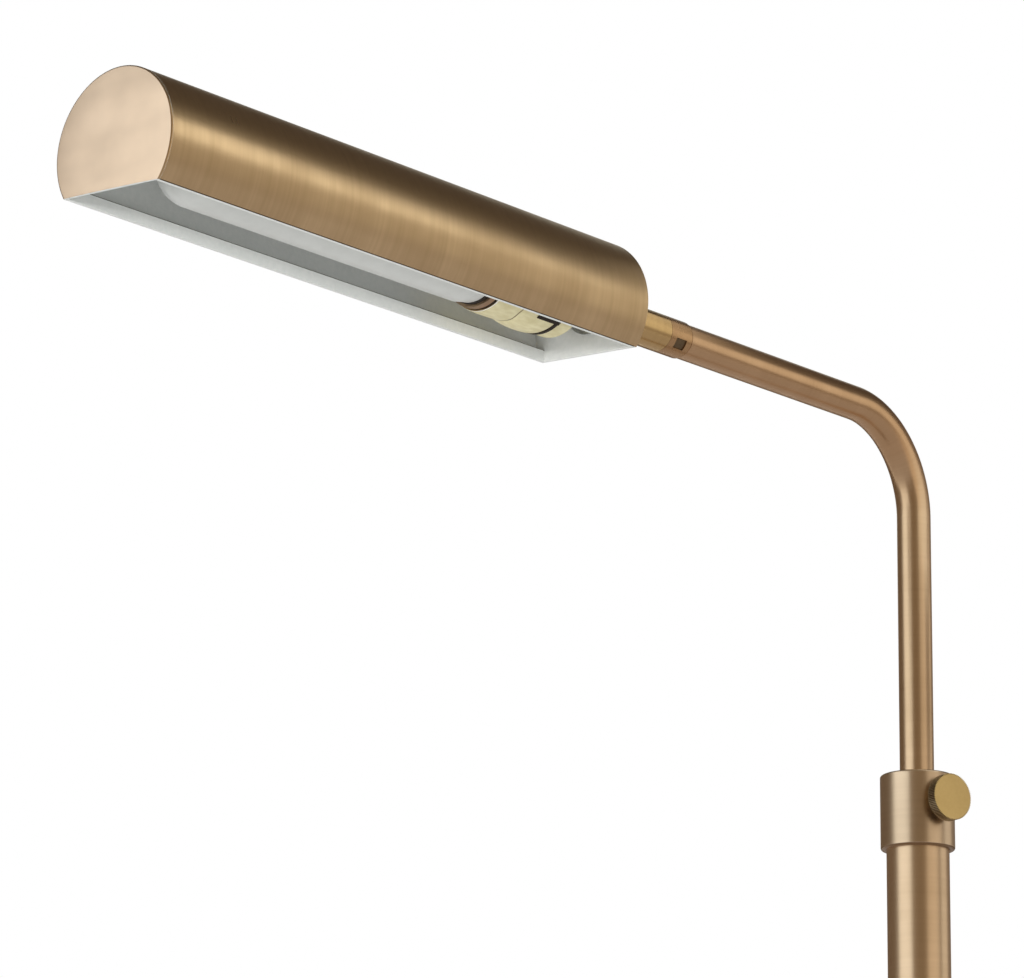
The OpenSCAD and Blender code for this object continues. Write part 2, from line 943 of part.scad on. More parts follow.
module swivel_nut() {
  color(YELLOW_BRASS)
    on_arm(spigot_end)
      tube(arm_bore - 2 * loose_gap, spigot_d, swivel_nut_t);
}

module shade_shell() {
  color(BRASS)
    in_shade(cap_t)
      linear_extrude(shell_len) {
        difference() {
          shade_outline();
          translate([-shade_drop, 0])
            circle(shade_r - shade_wall);
        }
        for (lip_y = [half_chord - shade_wall, shade_wall - half_chord - lip_t])
          translate([rim_level, lip_y])
            square([lip_h, lip_t]);
      }
}

module front_cap() {
  color(PALE_BRASS)
    in_shade(shade_len - cap_t)
      shade_cap();
}

module rear_cap() {
  color(BRASS)
    in_shade(0)
      difference() {
        shade_cap();
        rod(thread_d, -over, cap_t + over);
      }
}

module tooth_washer() {
  color(STEEL)
    in_shade(cap_t)
      tube(tooth_washer_d, thread_d, tooth_washer_t);
}

module stub_nut() {
  color(YELLOW_BRASS)
    in_shade(cap_t + tooth_washer_t)
      difference() {
        cylinder(d = stub_nut_af / cos(30), h = stub_nut_t, $fn = 6);
        rod(thread_d, -over, stub_nut_t + over);
      }
}

// Places the two screws of the lamp holder's base
module at_holder_screws() {
  for (side = [-1, 1])
    translate([0, side * holder_screw_r, 0])
      children();
}

module holder_base() {
  color(CREAM)
    in_shade(0)
      difference() {
        union() {
          rod(holder_base_d, holder_set, holder_front);
          rod(2 * shell_ri, holder_front, boss_front);
        }
        rod(thread_d, holder_set - over, thread_end);
        rod(stub_bore, thread_end - over, flex_seat);
        at_holder_screws()
          rod(holder_screw_d, holder_set - over, boss_front + over);
      }
}

module holder_screws() {
  color(STEEL)
    in_shade(0)
      at_holder_screws() {
        rod(holder_screw_d, holder_set, boss_front);
        rod(holder_head_d, holder_set - holder_head_h, holder_set);
      }
}

module holder_ring() {
  color(PHENOLIC)
    in_shade(holder_front)
      tube(ring_d, 2 * shell_ro, ring_t);
}

module holder_sleeve() {
  sleeve_r = sleeve_d / 2;
  groove_low = (sleeve_h - sleeve_groove_w) / 2;
  groove_high = groove_low + sleeve_groove_w;
  color(CREAM)
    in_shade(sleeve_start)
      rotate_extrude()
        polygon([
          [shell_ro, 0],
          [sleeve_r, 0],
          [sleeve_r, groove_low],
          [sleeve_r - sleeve_groove_depth, groove_low],
          [sleeve_r - sleeve_groove_depth, groove_high],
          [sleeve_r, groove_high],
          [sleeve_r, sleeve_h],
          [shell_ro, sleeve_h]
        ]);
}

module screw_shell() {
  color(YELLOW_BRASS)
    in_shade(holder_front)
      tube(2 * shell_ro, 2 * shell_ri, shell_end - holder_front);
}

module centre_contact() {
  color(YELLOW_BRASS)
    in_shade(boss_front) {
      cylinder(d = tip_d, h = contact_t);
      cylinder(d = tip_d / 2, h = contact_h);
    }
}

// The bulb's neck, shoulder, tube and round end as one solid, drawn in by inset
module bulb_body(neck_end, inset) {
  neck_r = neck_glass_d / 2 - inset;
  tube_r = bulb_d / 2 - inset;
  rotate_extrude()
    polygon([
      [0, neck_end],
      [neck_r, neck_end],
      [neck_r, glass_set],
      [tube_r, glass_set + shoulder_len],
      [tube_r, dome_centre],
      [0, dome_centre]
    ]);
  translate([0, 0, dome_centre])
    sphere(tube_r);
}

module bulb_glass() {
  neck_end = glass_set - neck_in;
  color(OPAL)
    in_shade(0)
      difference() {
        bulb_body(neck_end, 0);
        bulb_body(neck_end - over, glass_t);
      }
}

module bulb_cap() {
  neck_r = neck_glass_d / 2;
  color(DARK_BRASS)
    in_shade(0)
      rotate_extrude()
        polygon([
          [cap_ri, cap_start],
          [screw_cap_d / 2, cap_start],
          [screw_cap_d / 2, glass_set],
          [neck_r, glass_set],
          [neck_r, glass_set - cap_rim_t],
          [cap_ri, glass_set - cap_rim_t]
        ]);
}

module bulb_insulator() {
  color(PHENOLIC)
    in_shade(0)
      rotate_extrude()
        polygon([
          [0, cone_start],
          [tip_d / 2, cone_start],
          [cap_ri, cap_start],
          [cap_ri, cap_start + insulator_in],
          [0, cap_start + insulator_in]
        ]);
}

module bulb_tip() {
  color(YELLOW_BRASS)
    in_shade(tip_start)
      cylinder(d = tip_d, h = tip_h);
}

module shade_flex() {
  color(PHENOLIC)
    in_shade(0)
      rod(flex_d, spigot_end - arm_reach, flex_seat);
}

base_pad();
base_weight();
base_cover();
base_nipple();
base_washer();
base_nut();
cord_inlet_bush();
switch_body();
switch_contacts();
switch_neck();
switch_bezel();
switch_spring();
foot_button();
pole_foot();
pole_lower();
pole_sleeve();
pole_upper();
collar();
top_guide();
pole_flex();
clamp_shoe();
lock_screw();
lock_knob();
glide_bush();
arm_tube();
keeper_rings();
wire_plug();
arm_flex();
swivel_coupler();
stop_key();
swivel_stub();
spring_washer();
swivel_nut();
shade_shell();
front_cap();
rear_cap();
tooth_washer();
stub_nut();
holder_base();
holder_screws();
holder_ring();
holder_sleeve();
screw_shell();
centre_contact();
bulb_glass();
bulb_cap();
bulb_insulator();
bulb_tip();
shade_flex();
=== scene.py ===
# %% [markdown]
# # Dressing a brass floor lamp
# The lamp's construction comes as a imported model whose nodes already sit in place, in metres, with +Z up.
# This lesson keeps that frame as it is and gives every surface its finish. Pieces whose shape needs more
# than a plain solid, such as the rolled shade or the knurled knob, are modelled again over their nodes.

# %% Load the frame
import json
from math import acos, cos, pi, radians, sin, tan, tau

import bmesh
import bpy
from mathutils import Matrix, Vector


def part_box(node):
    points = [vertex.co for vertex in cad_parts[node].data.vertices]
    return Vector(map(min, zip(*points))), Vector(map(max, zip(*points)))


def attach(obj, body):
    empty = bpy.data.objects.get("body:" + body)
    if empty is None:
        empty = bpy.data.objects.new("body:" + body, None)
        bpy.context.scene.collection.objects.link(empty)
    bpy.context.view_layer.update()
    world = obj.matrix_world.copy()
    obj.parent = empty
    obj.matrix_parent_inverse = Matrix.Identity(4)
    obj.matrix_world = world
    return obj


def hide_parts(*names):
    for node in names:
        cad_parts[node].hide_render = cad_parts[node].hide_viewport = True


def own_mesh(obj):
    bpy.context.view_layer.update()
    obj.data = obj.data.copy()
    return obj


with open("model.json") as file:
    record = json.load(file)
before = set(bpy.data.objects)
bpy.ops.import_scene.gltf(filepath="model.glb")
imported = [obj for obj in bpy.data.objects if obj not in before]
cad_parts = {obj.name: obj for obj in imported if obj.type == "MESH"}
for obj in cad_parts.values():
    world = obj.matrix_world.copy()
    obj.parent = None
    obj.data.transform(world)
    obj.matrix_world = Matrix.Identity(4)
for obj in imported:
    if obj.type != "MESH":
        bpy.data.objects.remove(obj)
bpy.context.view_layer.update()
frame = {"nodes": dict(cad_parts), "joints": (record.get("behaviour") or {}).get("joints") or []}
scene = bpy.context.scene
MM = 0.001

# %% [markdown]
# The shade hangs on the arm's axis and is rolled a little about it. Both come from the frame: the hinge that
# lets the shade roll gives the axis, and its two stops lie evenly on either side of level, so their middle
# gives the roll. A matrix then takes a piece from its own bench frame, where Z is the turning axis and X is
# up, to its place on the lamp.

# %% Places taken from the frame
joints = {joint["name"]: joint for joint in frame["joints"]}
roll_hinge = joints["shade_roll"]
arm_z = roll_hinge["pos_m"][2]
shade_turn = radians(-sum(roll_hinge["range_deg"]) / 2)
rear_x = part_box("rear_cap")[1].x
along_arm = Matrix.Rotation(-pi / 2, 4, "Y")
to_shade = Matrix.Translation((rear_x, 0, arm_z)) @ Matrix.Rotation(shade_turn, 4, "X") @ along_arm


def span(node, axis):
    """Lowest and highest coordinate of a node along one axis of the frame."""
    low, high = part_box(node)
    return low[axis], high[axis]


def half_size(node, axis):
    """Half of a node's size along one axis."""
    low, high = span(node, axis)
    return (high - low) / 2


def along_shade(node):
    """Where a node starts and ends, counted from the shade's rear end."""
    low, high = span(node, 0)
    return rear_x - high, rear_x - low


print("arm axis at", round(arm_z, 4), "m, shade rolled by", round(shade_turn, 4), "rad")

# %% [markdown]
# The camera is placed first, because every finish is judged through it. It stands low in front of the shade
# and looks up at the lamp's head. Its place and angles were found by fitting the lamp's known sizes to the
# picture, so they are typed in as plain values.

# %% Camera
PICTURE_WIDTH = 1024
FOCAL_PIXELS = 4694.951
SENSOR = 36.0
camera_place = Vector((-1.30858, -0.95809, 0.78547))
heading, pitch, tilt = radians(-48.728), radians(15.15), radians(0.591)

flat_ahead = Vector((-sin(heading), cos(heading), 0))
ahead = flat_ahead * cos(pitch) + Vector((0, 0, sin(pitch)))
level_right = ahead.cross(Vector((0, 0, 1))).normalized()
level_up = level_right.cross(ahead)
right = level_right * cos(tilt) + level_up * sin(tilt)
up = level_up * cos(tilt) - level_right * sin(tilt)

camera_data = bpy.data.cameras.new("camera")
camera_data.sensor_width = SENSOR
camera_data.lens = FOCAL_PIXELS * SENSOR / PICTURE_WIDTH
camera = bpy.data.objects.new("camera", camera_data)
camera.matrix_world = Matrix.Translation(camera_place) @ Matrix((right, up, -ahead)).transposed().to_4x4()
scene.collection.objects.link(camera)
scene.camera = camera
print("lens", round(camera_data.lens, 2), "mm")

# %% [markdown]
# A metal shows nothing but its surroundings, so the studio matters as much as the finish. The background is
# white, and metal and glass see the same white where nothing stands before it. What isn't metal gets a fill
# that is a little darker than the background, or the paint inside the shade would wash out.

# %% White surroundings
WHITE = (1, 1, 1, 1)
FILL = (0.80, 0.805, 0.80, 1)

scene.view_settings.view_transform = "Standard"


def background_share(nodes, links):
    """1 for a ray that shows the background, straight, mirrored or through glass, and 0 for any other."""
    rays = nodes.new("ShaderNodeLightPath")
    total = rays.outputs["Is Camera Ray"]
    for kind in ("Is Glossy Ray", "Is Transmission Ray"):
        either = nodes.new("ShaderNodeMath")
        either.operation = "ADD"
        either.use_clamp = True
        links.new(total, either.inputs[0])
        links.new(rays.outputs[kind], either.inputs[1])
        total = either.outputs[0]
    return total


world = bpy.data.worlds.new("studio")
world.use_nodes = True
scene.world = world
nodes, links = world.node_tree.nodes, world.node_tree.links
whiten = nodes.new("ShaderNodeMix")
whiten.data_type = "RGBA"
whiten.inputs["A"].default_value = FILL
whiten.inputs["B"].default_value = WHITE
links.new(background_share(nodes, links), whiten.inputs["Factor"])
links.new(whiten.outputs["Result"], nodes["Background"].inputs["Color"])
print("white world with a fill of", FILL[0])

# %% [markdown]
# Three soft boxes add light to the paint, the bulb and the lamp holder: a long low one in front, which
# reaches into the shade, a small one before the shade's end, and a wide one overhead. They are area lamps
# that face the lamp's head. Brass would mirror them as hard white patches, so reflections don't see them.

# %% Soft boxes
lit_point = Vector((-0.15, 0, 1.2))


def toward(azimuth, elevation):
    """Unit direction from the lamp's head, with the azimuth counted from +X."""
    a, e = radians(azimuth), radians(elevation)
    return Vector((cos(e) * cos(a), cos(e) * sin(a), sin(e)))


def soft_box(name, azimuth, elevation, away, width, height, watts):
    """An area lamp that faces the lamp's head and that no reflection shows."""
    data = bpy.data.lights.new(name, "AREA")
    data.shape = "RECTANGLE"
    data.size, data.size_y = width, height
    data.energy = watts
    lamp = bpy.data.objects.new(name, data)
    way = toward(azimuth, elevation)
    lamp.location = lit_point + way * away
    lamp.rotation_euler = (-way).to_track_quat("-Z", "Y").to_euler()
    lamp.visible_camera = False
    lamp.visible_glossy = False
    scene.collection.objects.link(lamp)


soft_box("key_box", azimuth=215, elevation=-3.5, away=2.4, width=1.6, height=0.2, watts=20)
soft_box("end_box", azimuth=181, elevation=-9, away=2.4, width=0.5, height=0.5, watts=6)
soft_box("roof_box", azimuth=200, elevation=68, away=2.6, width=2.2, height=2.2, watts=14)
print("3 soft boxes round", tuple(lit_point))

# %% [markdown]
# Brass that sees only white looks like paper, so a photographer hangs cards round it: dark ones for the brown
# bands, pale ones for the soft bands beside them. Here a card glows evenly, and only reflections see it. A
# vertex spun up and then round makes a patch of a sphere about the lamp's head. A line spun beside the arm or
# round the pole makes a strip for that one tube.

# %% Card tools
CARD_STEPS = 16
CARD_LIFT = 2 * MM


def hung(name, bm, colour):
    """Hangs a bmesh as a card that only reflections see."""
    mesh = bpy.data.meshes.new(name)
    bm.to_mesh(mesh)
    bm.free()
    material = bpy.data.materials.new(name)
    material.use_nodes = True
    tree = material.node_tree
    tree.nodes.clear()
    glow = tree.nodes.new("ShaderNodeEmission")
    glow.inputs["Color"].default_value = (*colour, 1)
    output = tree.nodes.new("ShaderNodeOutputMaterial")
    tree.links.new(glow.outputs[0], output.inputs["Surface"])
    mesh.materials.append(material)
    hanging = bpy.data.objects.new(name, mesh)
    hanging.visible_camera = False
    hanging.visible_diffuse = False
    hanging.visible_shadow = False
    hanging.visible_transmission = False
    scene.collection.objects.link(hanging)


def card(name, azimuths, elevations, away, colour):
    """A curved card round the lamp's head, between two azimuths and two elevations."""
    bm = bmesh.new()
    foot = bm.verts.new(toward(azimuths[0], elevations[0]) * away)
    rise, sweep = elevations[1] - elevations[0], azimuths[1] - azimuths[0]
    bmesh.ops.spin(bm, geom=[foot], axis=toward(azimuths[0] - 90, 0), cent=(0, 0, 0), angle=radians(rise),
                   steps=CARD_STEPS)
    bmesh.ops.spin(bm, geom=bm.verts[:] + bm.edges[:], axis=(0, 0, 1), cent=(0, 0, 0), angle=radians(sweep),
                   steps=CARD_STEPS)
    bmesh.ops.translate(bm, verts=bm.verts, vec=lit_point)
    hung(name, bm, colour)


def strip_card(name, reach, angles, away, colour):
    """A strip beside the arm, from one x to another, with its angles counted up from the level."""
    bm = bmesh.new()
    low = radians(angles[0])
    ends = [bm.verts.new((x, -away * cos(low), arm_z + away * sin(low))) for x in reach]
    edge = bm.edges.new(ends)
    bmesh.ops.spin(bm, geom=[*ends, edge], axis=(-1, 0, 0), cent=(0, 0, arm_z),
                   angle=radians(angles[1] - angles[0]), steps=CARD_STEPS)
    hung(name, bm, colour)


def upright_card(name, azimuths, heights, away, colour):
    """A strip round the pole's axis, between two azimuths and two heights."""
    bm = bmesh.new()
    start = toward(azimuths[0], 0) * away
    ends = [bm.verts.new((start.x, start.y, z)) for z in heights]
    edge = bm.edges.new(ends)
    bmesh.ops.spin(bm, geom=[*ends, edge], axis=(0, 0, 1), cent=(0, 0, 0),
                   angle=radians(azimuths[1] - azimuths[0]), steps=CARD_STEPS)
    hung(name, bm, colour)


def floor_card(name, reach, colour):
    """A round card that lies just above the floor, under the lamp."""
    bm = bmesh.new()
    bmesh.ops.create_circle(bm, cap_ends=True, radius=reach, segments=4 * CARD_STEPS)
    bmesh.ops.translate(bm, verts=bm.verts, vec=(lit_point.x, lit_point.y, CARD_LIFT))
    hung(name, bm, colour)


# %% [markdown]
# Each card answers one band in the brass: a tube mirrors one direction at each line along it, and the card
# hangs in that direction. The bright stripe makes the long highlight of the shade and the arm, and the dark
# cards above it and round the camera make the brown beside it.

# %% Hanging the cards
HEAD_CARDS = {  # azimuths and elevations in degrees, distance in metres, colour
    "camera_card": ((191, 250), (-20, 50), 3.4, (0.20, 0.145, 0.095)),
    "front_card": ((250, 284), (-20, 11), 3.2, (0.71, 0.60, 0.485)),
    "low_knob_card": ((284, 298), (-20, 11), 3.2, (0.60, 0.51, 0.42)),
    "upper_front_card": ((250, 278), (11, 40), 3.2, (0.42, 0.355, 0.29)),
    "knob_card": ((278, 298), (11, 40), 3.2, (0.62, 0.53, 0.44)),
    "dip_card": ((298, 309), (-20, 16), 3.3, (0.20, 0.16, 0.13)),
    "right_card": ((309, 322), (5, 16), 3.4, (0.72, 0.66, 0.59)),
    "edge_card": ((322, 342), (5, 16), 3.4, (0.68, 0.60, 0.52)),
    "mid_right_card": ((309, 342), (-7, 5), 3.3, (0.66, 0.62, 0.56)),
    "low_right_card": ((309, 342), (-20, -7), 3.3, (0.44, 0.40, 0.385)),
    "side_card": ((342, 388), (-20, 27), 3.4, (0.20, 0.16, 0.13)),
    "back_card": ((28, 127), (-16, 20), 2.0, (0.15, 0.11, 0.08)),
    "low_back_card": ((127, 137), (-16, 11), 2.0, (0.15, 0.11, 0.08)),
    "rim_card": ((18, 60), (12, 38), 1.9, (0.46, 0.48, 0.45)),
    "high_card": ((-62, 128), (16, 62), 3.6, (0.075, 0.06, 0.05)),
    "roof_card": ((0, 360), (48, 90), 3.8, (0.12, 0.10, 0.08)),
    "stripe_card": ((295, 312.5), (17, 37), 1.08, (1.66, 1.63, 1.57)),
    "end_stripe_card": ((312.5, 321), (8, 27), 1.08, (0.62, 0.58, 0.52)),
    "stripe_top_card": ((292, 318), (37, 52), 1.1, (0.24, 0.22, 0.19)),
}
for name, spread in HEAD_CARDS.items():
    card(name, *spread)
strip_card("swivel_strip", reach=(-0.056, -0.004), angles=(-6, 82), away=0.12, colour=(0.84, 0.80, 0.73))
strip_card("arm_strip", reach=(-0.004, 0.12), angles=(-14, 32), away=0.12, colour=(0.86, 0.82, 0.76))
upright_card("riser_flag", azimuths=(289, 322), heights=(1.158, 1.264), away=0.2, colour=(0.26, 0.21, 0.17))
floor_card("low_card", reach=3.2, colour=(0.44, 0.405, 0.40))
print(len(HEAD_CARDS), "cards round the head, 3 beside the tubes and 1 on the floor")

# %% [markdown]
# The floor is a wide pale plane at the height where the felt pad rests. It belongs to the stage, not to the
# lamp. A faint cloud in its colour keeps it from looking like a flat card. Farther out it fades to the white
# of the background, as a paper sweep does in a studio, so no horizon cuts through the picture.

# %% Finish helpers and floor
LINE_DETAIL = 2
CLOUD_DETAIL = 3
FLOOR_TONES = ((0.80, 0.80, 0.79), (0.86, 0.86, 0.85))
FLOOR_CLOUD = 0.7
FLOOR_ROUGH = 0.8
FLOOR_FADE = (0.4, 2.4)
FLOOR_HALF = 30.0


def new_finish(name):
    """An empty principled material, with its nodes, links and shader."""
    material = bpy.data.materials.new(name)
    material.use_nodes = True
    tree = material.node_tree
    return material, tree.nodes, tree.links, tree.nodes["Principled BSDF"]


def noise_on(nodes, links, scale, detail, coordinate="Object"):
    """Noise whose scale is a count per metre, or three of them along the frame's axes."""
    place = nodes.new("ShaderNodeTexCoord")
    stretch = nodes.new("ShaderNodeMapping")
    stretch.inputs["Scale"].default_value = scale if isinstance(scale, tuple) else (scale, scale, scale)
    cloud = nodes.new("ShaderNodeTexNoise")
    cloud.inputs["Scale"].default_value = 1
    cloud.inputs["Detail"].default_value = detail
    links.new(place.outputs[coordinate], stretch.inputs["Vector"])
    links.new(stretch.outputs["Vector"], cloud.inputs["Vector"])
    return cloud.outputs["Fac"]


def ranged(nodes, links, source, low, high, start=0.3, end=0.7):
    """The source spread from low to high between two of its own values."""
    spread = nodes.new("ShaderNodeMapRange")
    spread.inputs["From Min"].default_value = start
    spread.inputs["From Max"].default_value = end
    spread.inputs["To Min"].default_value = low
    spread.inputs["To Max"].default_value = high
    links.new(source, spread.inputs["Value"])
    return spread.outputs["Result"]


def blended(nodes, links, factor, first, second):
    """A colour between two, by a factor. Either colour may be a socket."""
    mix = nodes.new("ShaderNodeMix")
    mix.data_type = "RGBA"
    links.new(factor, mix.inputs["Factor"])
    for name, colour in (("A", first), ("B", second)):
        if isinstance(colour, tuple):
            mix.inputs[name].default_value = (*colour, 1)
        else:
            links.new(colour, mix.inputs[name])
    return mix.outputs["Result"]


def bumped(nodes, links, shader, height, depth):
    """Raises the surface by a height from 0 to 1 times a depth in metres."""
    bump = nodes.new("ShaderNodeBump")
    bump.inputs["Strength"].default_value = 1
    bump.inputs["Distance"].default_value = depth
    links.new(height, bump.inputs["Height"])
    links.new(bump.outputs["Normal"], shader.inputs["Normal"])


def pale_floor():
    """Pale paper that fades to the background's white between two distances."""
    material, nodes, links, shader = new_finish("pale_floor")
    cloud = noise_on(nodes, links, FLOOR_CLOUD, CLOUD_DETAIL)
    links.new(blended(nodes, links, cloud, *FLOOR_TONES), shader.inputs["Base Color"])
    shader.inputs["Roughness"].default_value = FLOOR_ROUGH
    shader.inputs["Specular IOR Level"].default_value = 0
    place = nodes.new("ShaderNodeTexCoord")
    distance = nodes.new("ShaderNodeVectorMath")
    distance.operation = "LENGTH"
    links.new(place.outputs["Object"], distance.inputs[0])
    share = nodes.new("ShaderNodeMath")
    share.operation = "MULTIPLY"
    links.new(ranged(nodes, links, distance.outputs["Value"], 0, 1, *FLOOR_FADE), share.inputs[0])
    links.new(background_share(nodes, links), share.inputs[1])
    white = nodes.new("ShaderNodeEmission")
    white.inputs["Color"].default_value = WHITE
    fade = nodes.new("ShaderNodeMixShader")
    links.new(share.outputs[0], fade.inputs["Fac"])
    links.new(shader.outputs[0], fade.inputs[1])
    links.new(white.outputs[0], fade.inputs[2])
    links.new(fade.outputs[0], nodes["Material Output"].inputs["Surface"])
    return material


bm = bmesh.new()
bmesh.ops.create_grid(bm, x_segments=1, y_segments=1, size=FLOOR_HALF)
floor_mesh = bpy.data.meshes.new("floor")
bm.to_mesh(floor_mesh)
bm.free()
floor_mesh.materials.append(pale_floor())
floor = bpy.data.objects.new("floor", floor_mesh)
scene.collection.objects.link(floor)
print("floor", 2 * FLOOR_HALF, "m wide")

# %% [markdown]
# All the visible brass is brushed. Brushing leaves fine lines: here a noise that is stretched hard in one
# direction, which changes the colour, the roughness and the height a little. The same noise, much coarser,
# gives the broad bands between the lines, and a third one is the patina of an antique finish. The lines run
# round the shade and the tubes, so the fine direction of the noise is the axis of the piece.

# %% Brass finishes
LINES = 760.0  # to a metre, across the lines
DRAWN_OUT = 22.0  # to a metre, along them
BAND = 0.14  # a band's count against a line's
PATINA = 45.0
LINE_SHARE, BAND_SHARE, PATINA_SHARE = 0.25, 0.30, 0.45
TONE_SPREAD = (0.35, 0.65)


def summed(nodes, links, parts):
    """The sum of sockets, each with its own weight."""
    total = None
    for socket, weight in parts:
        step = nodes.new("ShaderNodeMath")
        step.operation = "MULTIPLY_ADD"
        step.inputs[1].default_value = weight
        step.inputs[2].default_value = 0
        links.new(socket, step.inputs[0])
        if total is not None:
            links.new(total, step.inputs[2])
        total = step.outputs[0]
    return total


def brass(name, pale, deep, rough, lines, line_depth, coordinate="Object", further=None):
    """Brushed brass: pale and deep are its two tones, rough its least and most roughness.
    further is a second pair of tones, and the two distances along the piece between which it takes over."""
    material, nodes, links, shader = new_finish(name)
    strokes = noise_on(nodes, links, lines, LINE_DETAIL, coordinate)
    bands = noise_on(nodes, links, tuple(count * BAND for count in lines), LINE_DETAIL, coordinate)
    patina = noise_on(nodes, links, PATINA, CLOUD_DETAIL)
    tone = summed(nodes, links, ((strokes, LINE_SHARE), (bands, BAND_SHARE), (patina, PATINA_SHARE)))
    spread = ranged(nodes, links, tone, 0, 1, *TONE_SPREAD)
    colour = blended(nodes, links, spread, deep, pale)
    if further:
        far_pale, far_deep, start, end = further
        place = nodes.new("ShaderNodeTexCoord")
        distance = nodes.new("ShaderNodeSeparateXYZ")
        links.new(place.outputs["UV"], distance.inputs["Vector"])
        share = ranged(nodes, links, distance.outputs["X"], 0, 1, start, end)
        colour = blended(nodes, links, share, colour, blended(nodes, links, spread, far_deep, far_pale))
    links.new(colour, shader.inputs["Base Color"])
    links.new(ranged(nodes, links, tone, rough[1], rough[0]), shader.inputs["Roughness"])
    bumped(nodes, links, shader, strokes, line_depth)
    shader.inputs["Metallic"].default_value = 1.0
    return material


round_x = (LINES, DRAWN_OUT, DRAWN_OUT)
round_z = (DRAWN_OUT, DRAWN_OUT, LINES)
even = (900.0, 900.0, 900.0)
cloudy = (60.0, 24.0, 100.0)

shade_brass = brass("shade_brass", (0.76, 0.56, 0.32), (0.60, 0.43, 0.235), (0.26, 0.36), round_x, 8e-7)
cap_brass = brass("cap_brass", (0.99, 0.79, 0.585), (0.75, 0.595, 0.44), (0.28, 0.36), cloudy, 6e-7)
pole_brass = brass("pole_brass", (0.90, 0.70, 0.475), (0.79, 0.60, 0.39), (0.27, 0.33), round_z, 5e-7)
collar_brass = brass("collar_brass", (0.85, 0.685, 0.485), (0.73, 0.58, 0.40), (0.27, 0.33), round_z, 5e-7)
collar_shade_brass = brass("collar_shade_brass", (0.36, 0.24, 0.14), (0.24, 0.155, 0.09), (0.34, 0.44), round_z, 5e-7)
stub_brass = brass("stub_brass", (0.70, 0.485, 0.22), (0.62, 0.42, 0.185), (0.20, 0.26), round_x, 2e-7)
coupler_brass = brass("coupler_brass", (0.58, 0.365, 0.185), (0.53, 0.325, 0.16), (0.24, 0.30), round_x, 1e-7)
nut_brass = brass("nut_brass", (0.88, 0.82, 0.68), (0.78, 0.72, 0.58), (0.50, 0.62), even, 8e-7)
key_shade_brass = brass("key_shade_brass", (0.24, 0.175, 0.10), (0.15, 0.105, 0.06), (0.36, 0.46), even, 5e-7)
knob_brass = brass("knob_brass", (0.93, 0.735, 0.34), (0.84, 0.65, 0.285), (0.30, 0.38), even, 1.2e-6)
knurl_shade_brass = brass("knurl_shade_brass", (0.34, 0.25, 0.14), (0.19, 0.135, 0.07), (0.34, 0.46), even, 8e-7)
worn_highlit_brass = brass("worn_highlit_brass", (0.76, 0.62, 0.40), (0.62, 0.50, 0.31), (0.30, 0.40), even, 5e-7)
stamped_brass = brass("stamped_brass", (0.70, 0.50, 0.25), (0.58, 0.40, 0.18), (0.25, 0.40), even, 8e-7)
copper_cap = brass("copper_cap", (0.62, 0.44, 0.29), (0.48, 0.33, 0.21), (0.30, 0.42), round_x, 1e-6)
painted_shade_fold = brass("painted_shade_fold", (0.11, 0.068, 0.04), (0.07, 0.043, 0.025), (0.40, 0.55), even, 8e-7)
print("15 brass finishes")

# %% [markdown]
# The other finishes are quieter. White paint has the faint skin of a sprayed coat, the bulb is frosted from
# inside so it looks milky, and the lamp holder is a cream fibre with mottled tone. Iron, zinc, felt, nylon
# and moulded black are inside or underneath, and each still has its own grain.

# %% Plain finishes
GRAIN_DETAIL = 4


def grained(name, first, second, rough, scale, depth, metal=0.0, gloss=0.5):
    """A finish of two mottled tones with a grain. A lower gloss mirrors less of the white studio."""
    material, nodes, links, shader = new_finish(name)
    grain = noise_on(nodes, links, scale, GRAIN_DETAIL)
    mottle = ranged(nodes, links, grain, 0, 1)
    links.new(blended(nodes, links, mottle, first, second), shader.inputs["Base Color"])
    links.new(ranged(nodes, links, grain, *rough), shader.inputs["Roughness"])
    bumped(nodes, links, shader, grain, depth)
    shader.inputs["Metallic"].default_value = metal
    shader.inputs["Specular IOR Level"].default_value = gloss
    return material


white_paint = grained("white_paint", (0.76, 0.78, 0.76), (0.82, 0.83, 0.81), (0.38, 0.46), 700, 4e-6)
milk_glass = grained("milk_glass", (0.62, 0.63, 0.61), (0.66, 0.67, 0.65), (0.30, 0.36), 260, 2e-6)
cream_fibre = grained("cream_fibre", (0.66, 0.58, 0.32), (0.80, 0.73, 0.47), (0.50, 0.62),
                      (240, 520, 520), 2e-5)
zinc = grained("zinc", (0.50, 0.51, 0.52), (0.64, 0.65, 0.66), (0.28, 0.42), 420, 3e-6, metal=1.0)
iron = grained("iron", (0.035, 0.035, 0.037), (0.07, 0.07, 0.072), (0.65, 0.85), 380, 1.2e-4)
felt = grained("felt", (0.022, 0.022, 0.022), (0.05, 0.05, 0.05), (0.92, 1.0), (1600, 1600, 700), 2e-4)
black_moulding = grained("black_moulding", (0.018, 0.013, 0.009), (0.034, 0.025, 0.017), (0.40, 0.52),
                         800, 4e-6, gloss=0.2)
flex_rubber = grained("flex_rubber", (0.02, 0.018, 0.016), (0.04, 0.036, 0.032), (0.55, 0.7), 600, 1e-5)
nylon = grained("nylon", (0.76, 0.74, 0.67), (0.84, 0.82, 0.76), (0.40, 0.52), 350, 5e-6)
cement_shade = grained("cement_shade", (0.022, 0.017, 0.013), (0.045, 0.036, 0.028), (0.7, 0.85), 700, 2e-5)
crease_shade = grained("crease_shade", (0.17, 0.13, 0.07), (0.30, 0.24, 0.13), (0.6, 0.75), 500, 2e-5)
cut_end_highlight = grained("cut_end_highlight", (0.84, 0.81, 0.70), (0.90, 0.88, 0.80), (0.5, 0.65), 600, 1e-5)
print("12 plain finishes")

# %% [markdown]
# A node whose shape is right stays as it is and only changes its finish. Assigning to the material slot of
# its mesh is enough. The finishes follow the metal of each piece, so they are listed by finish.

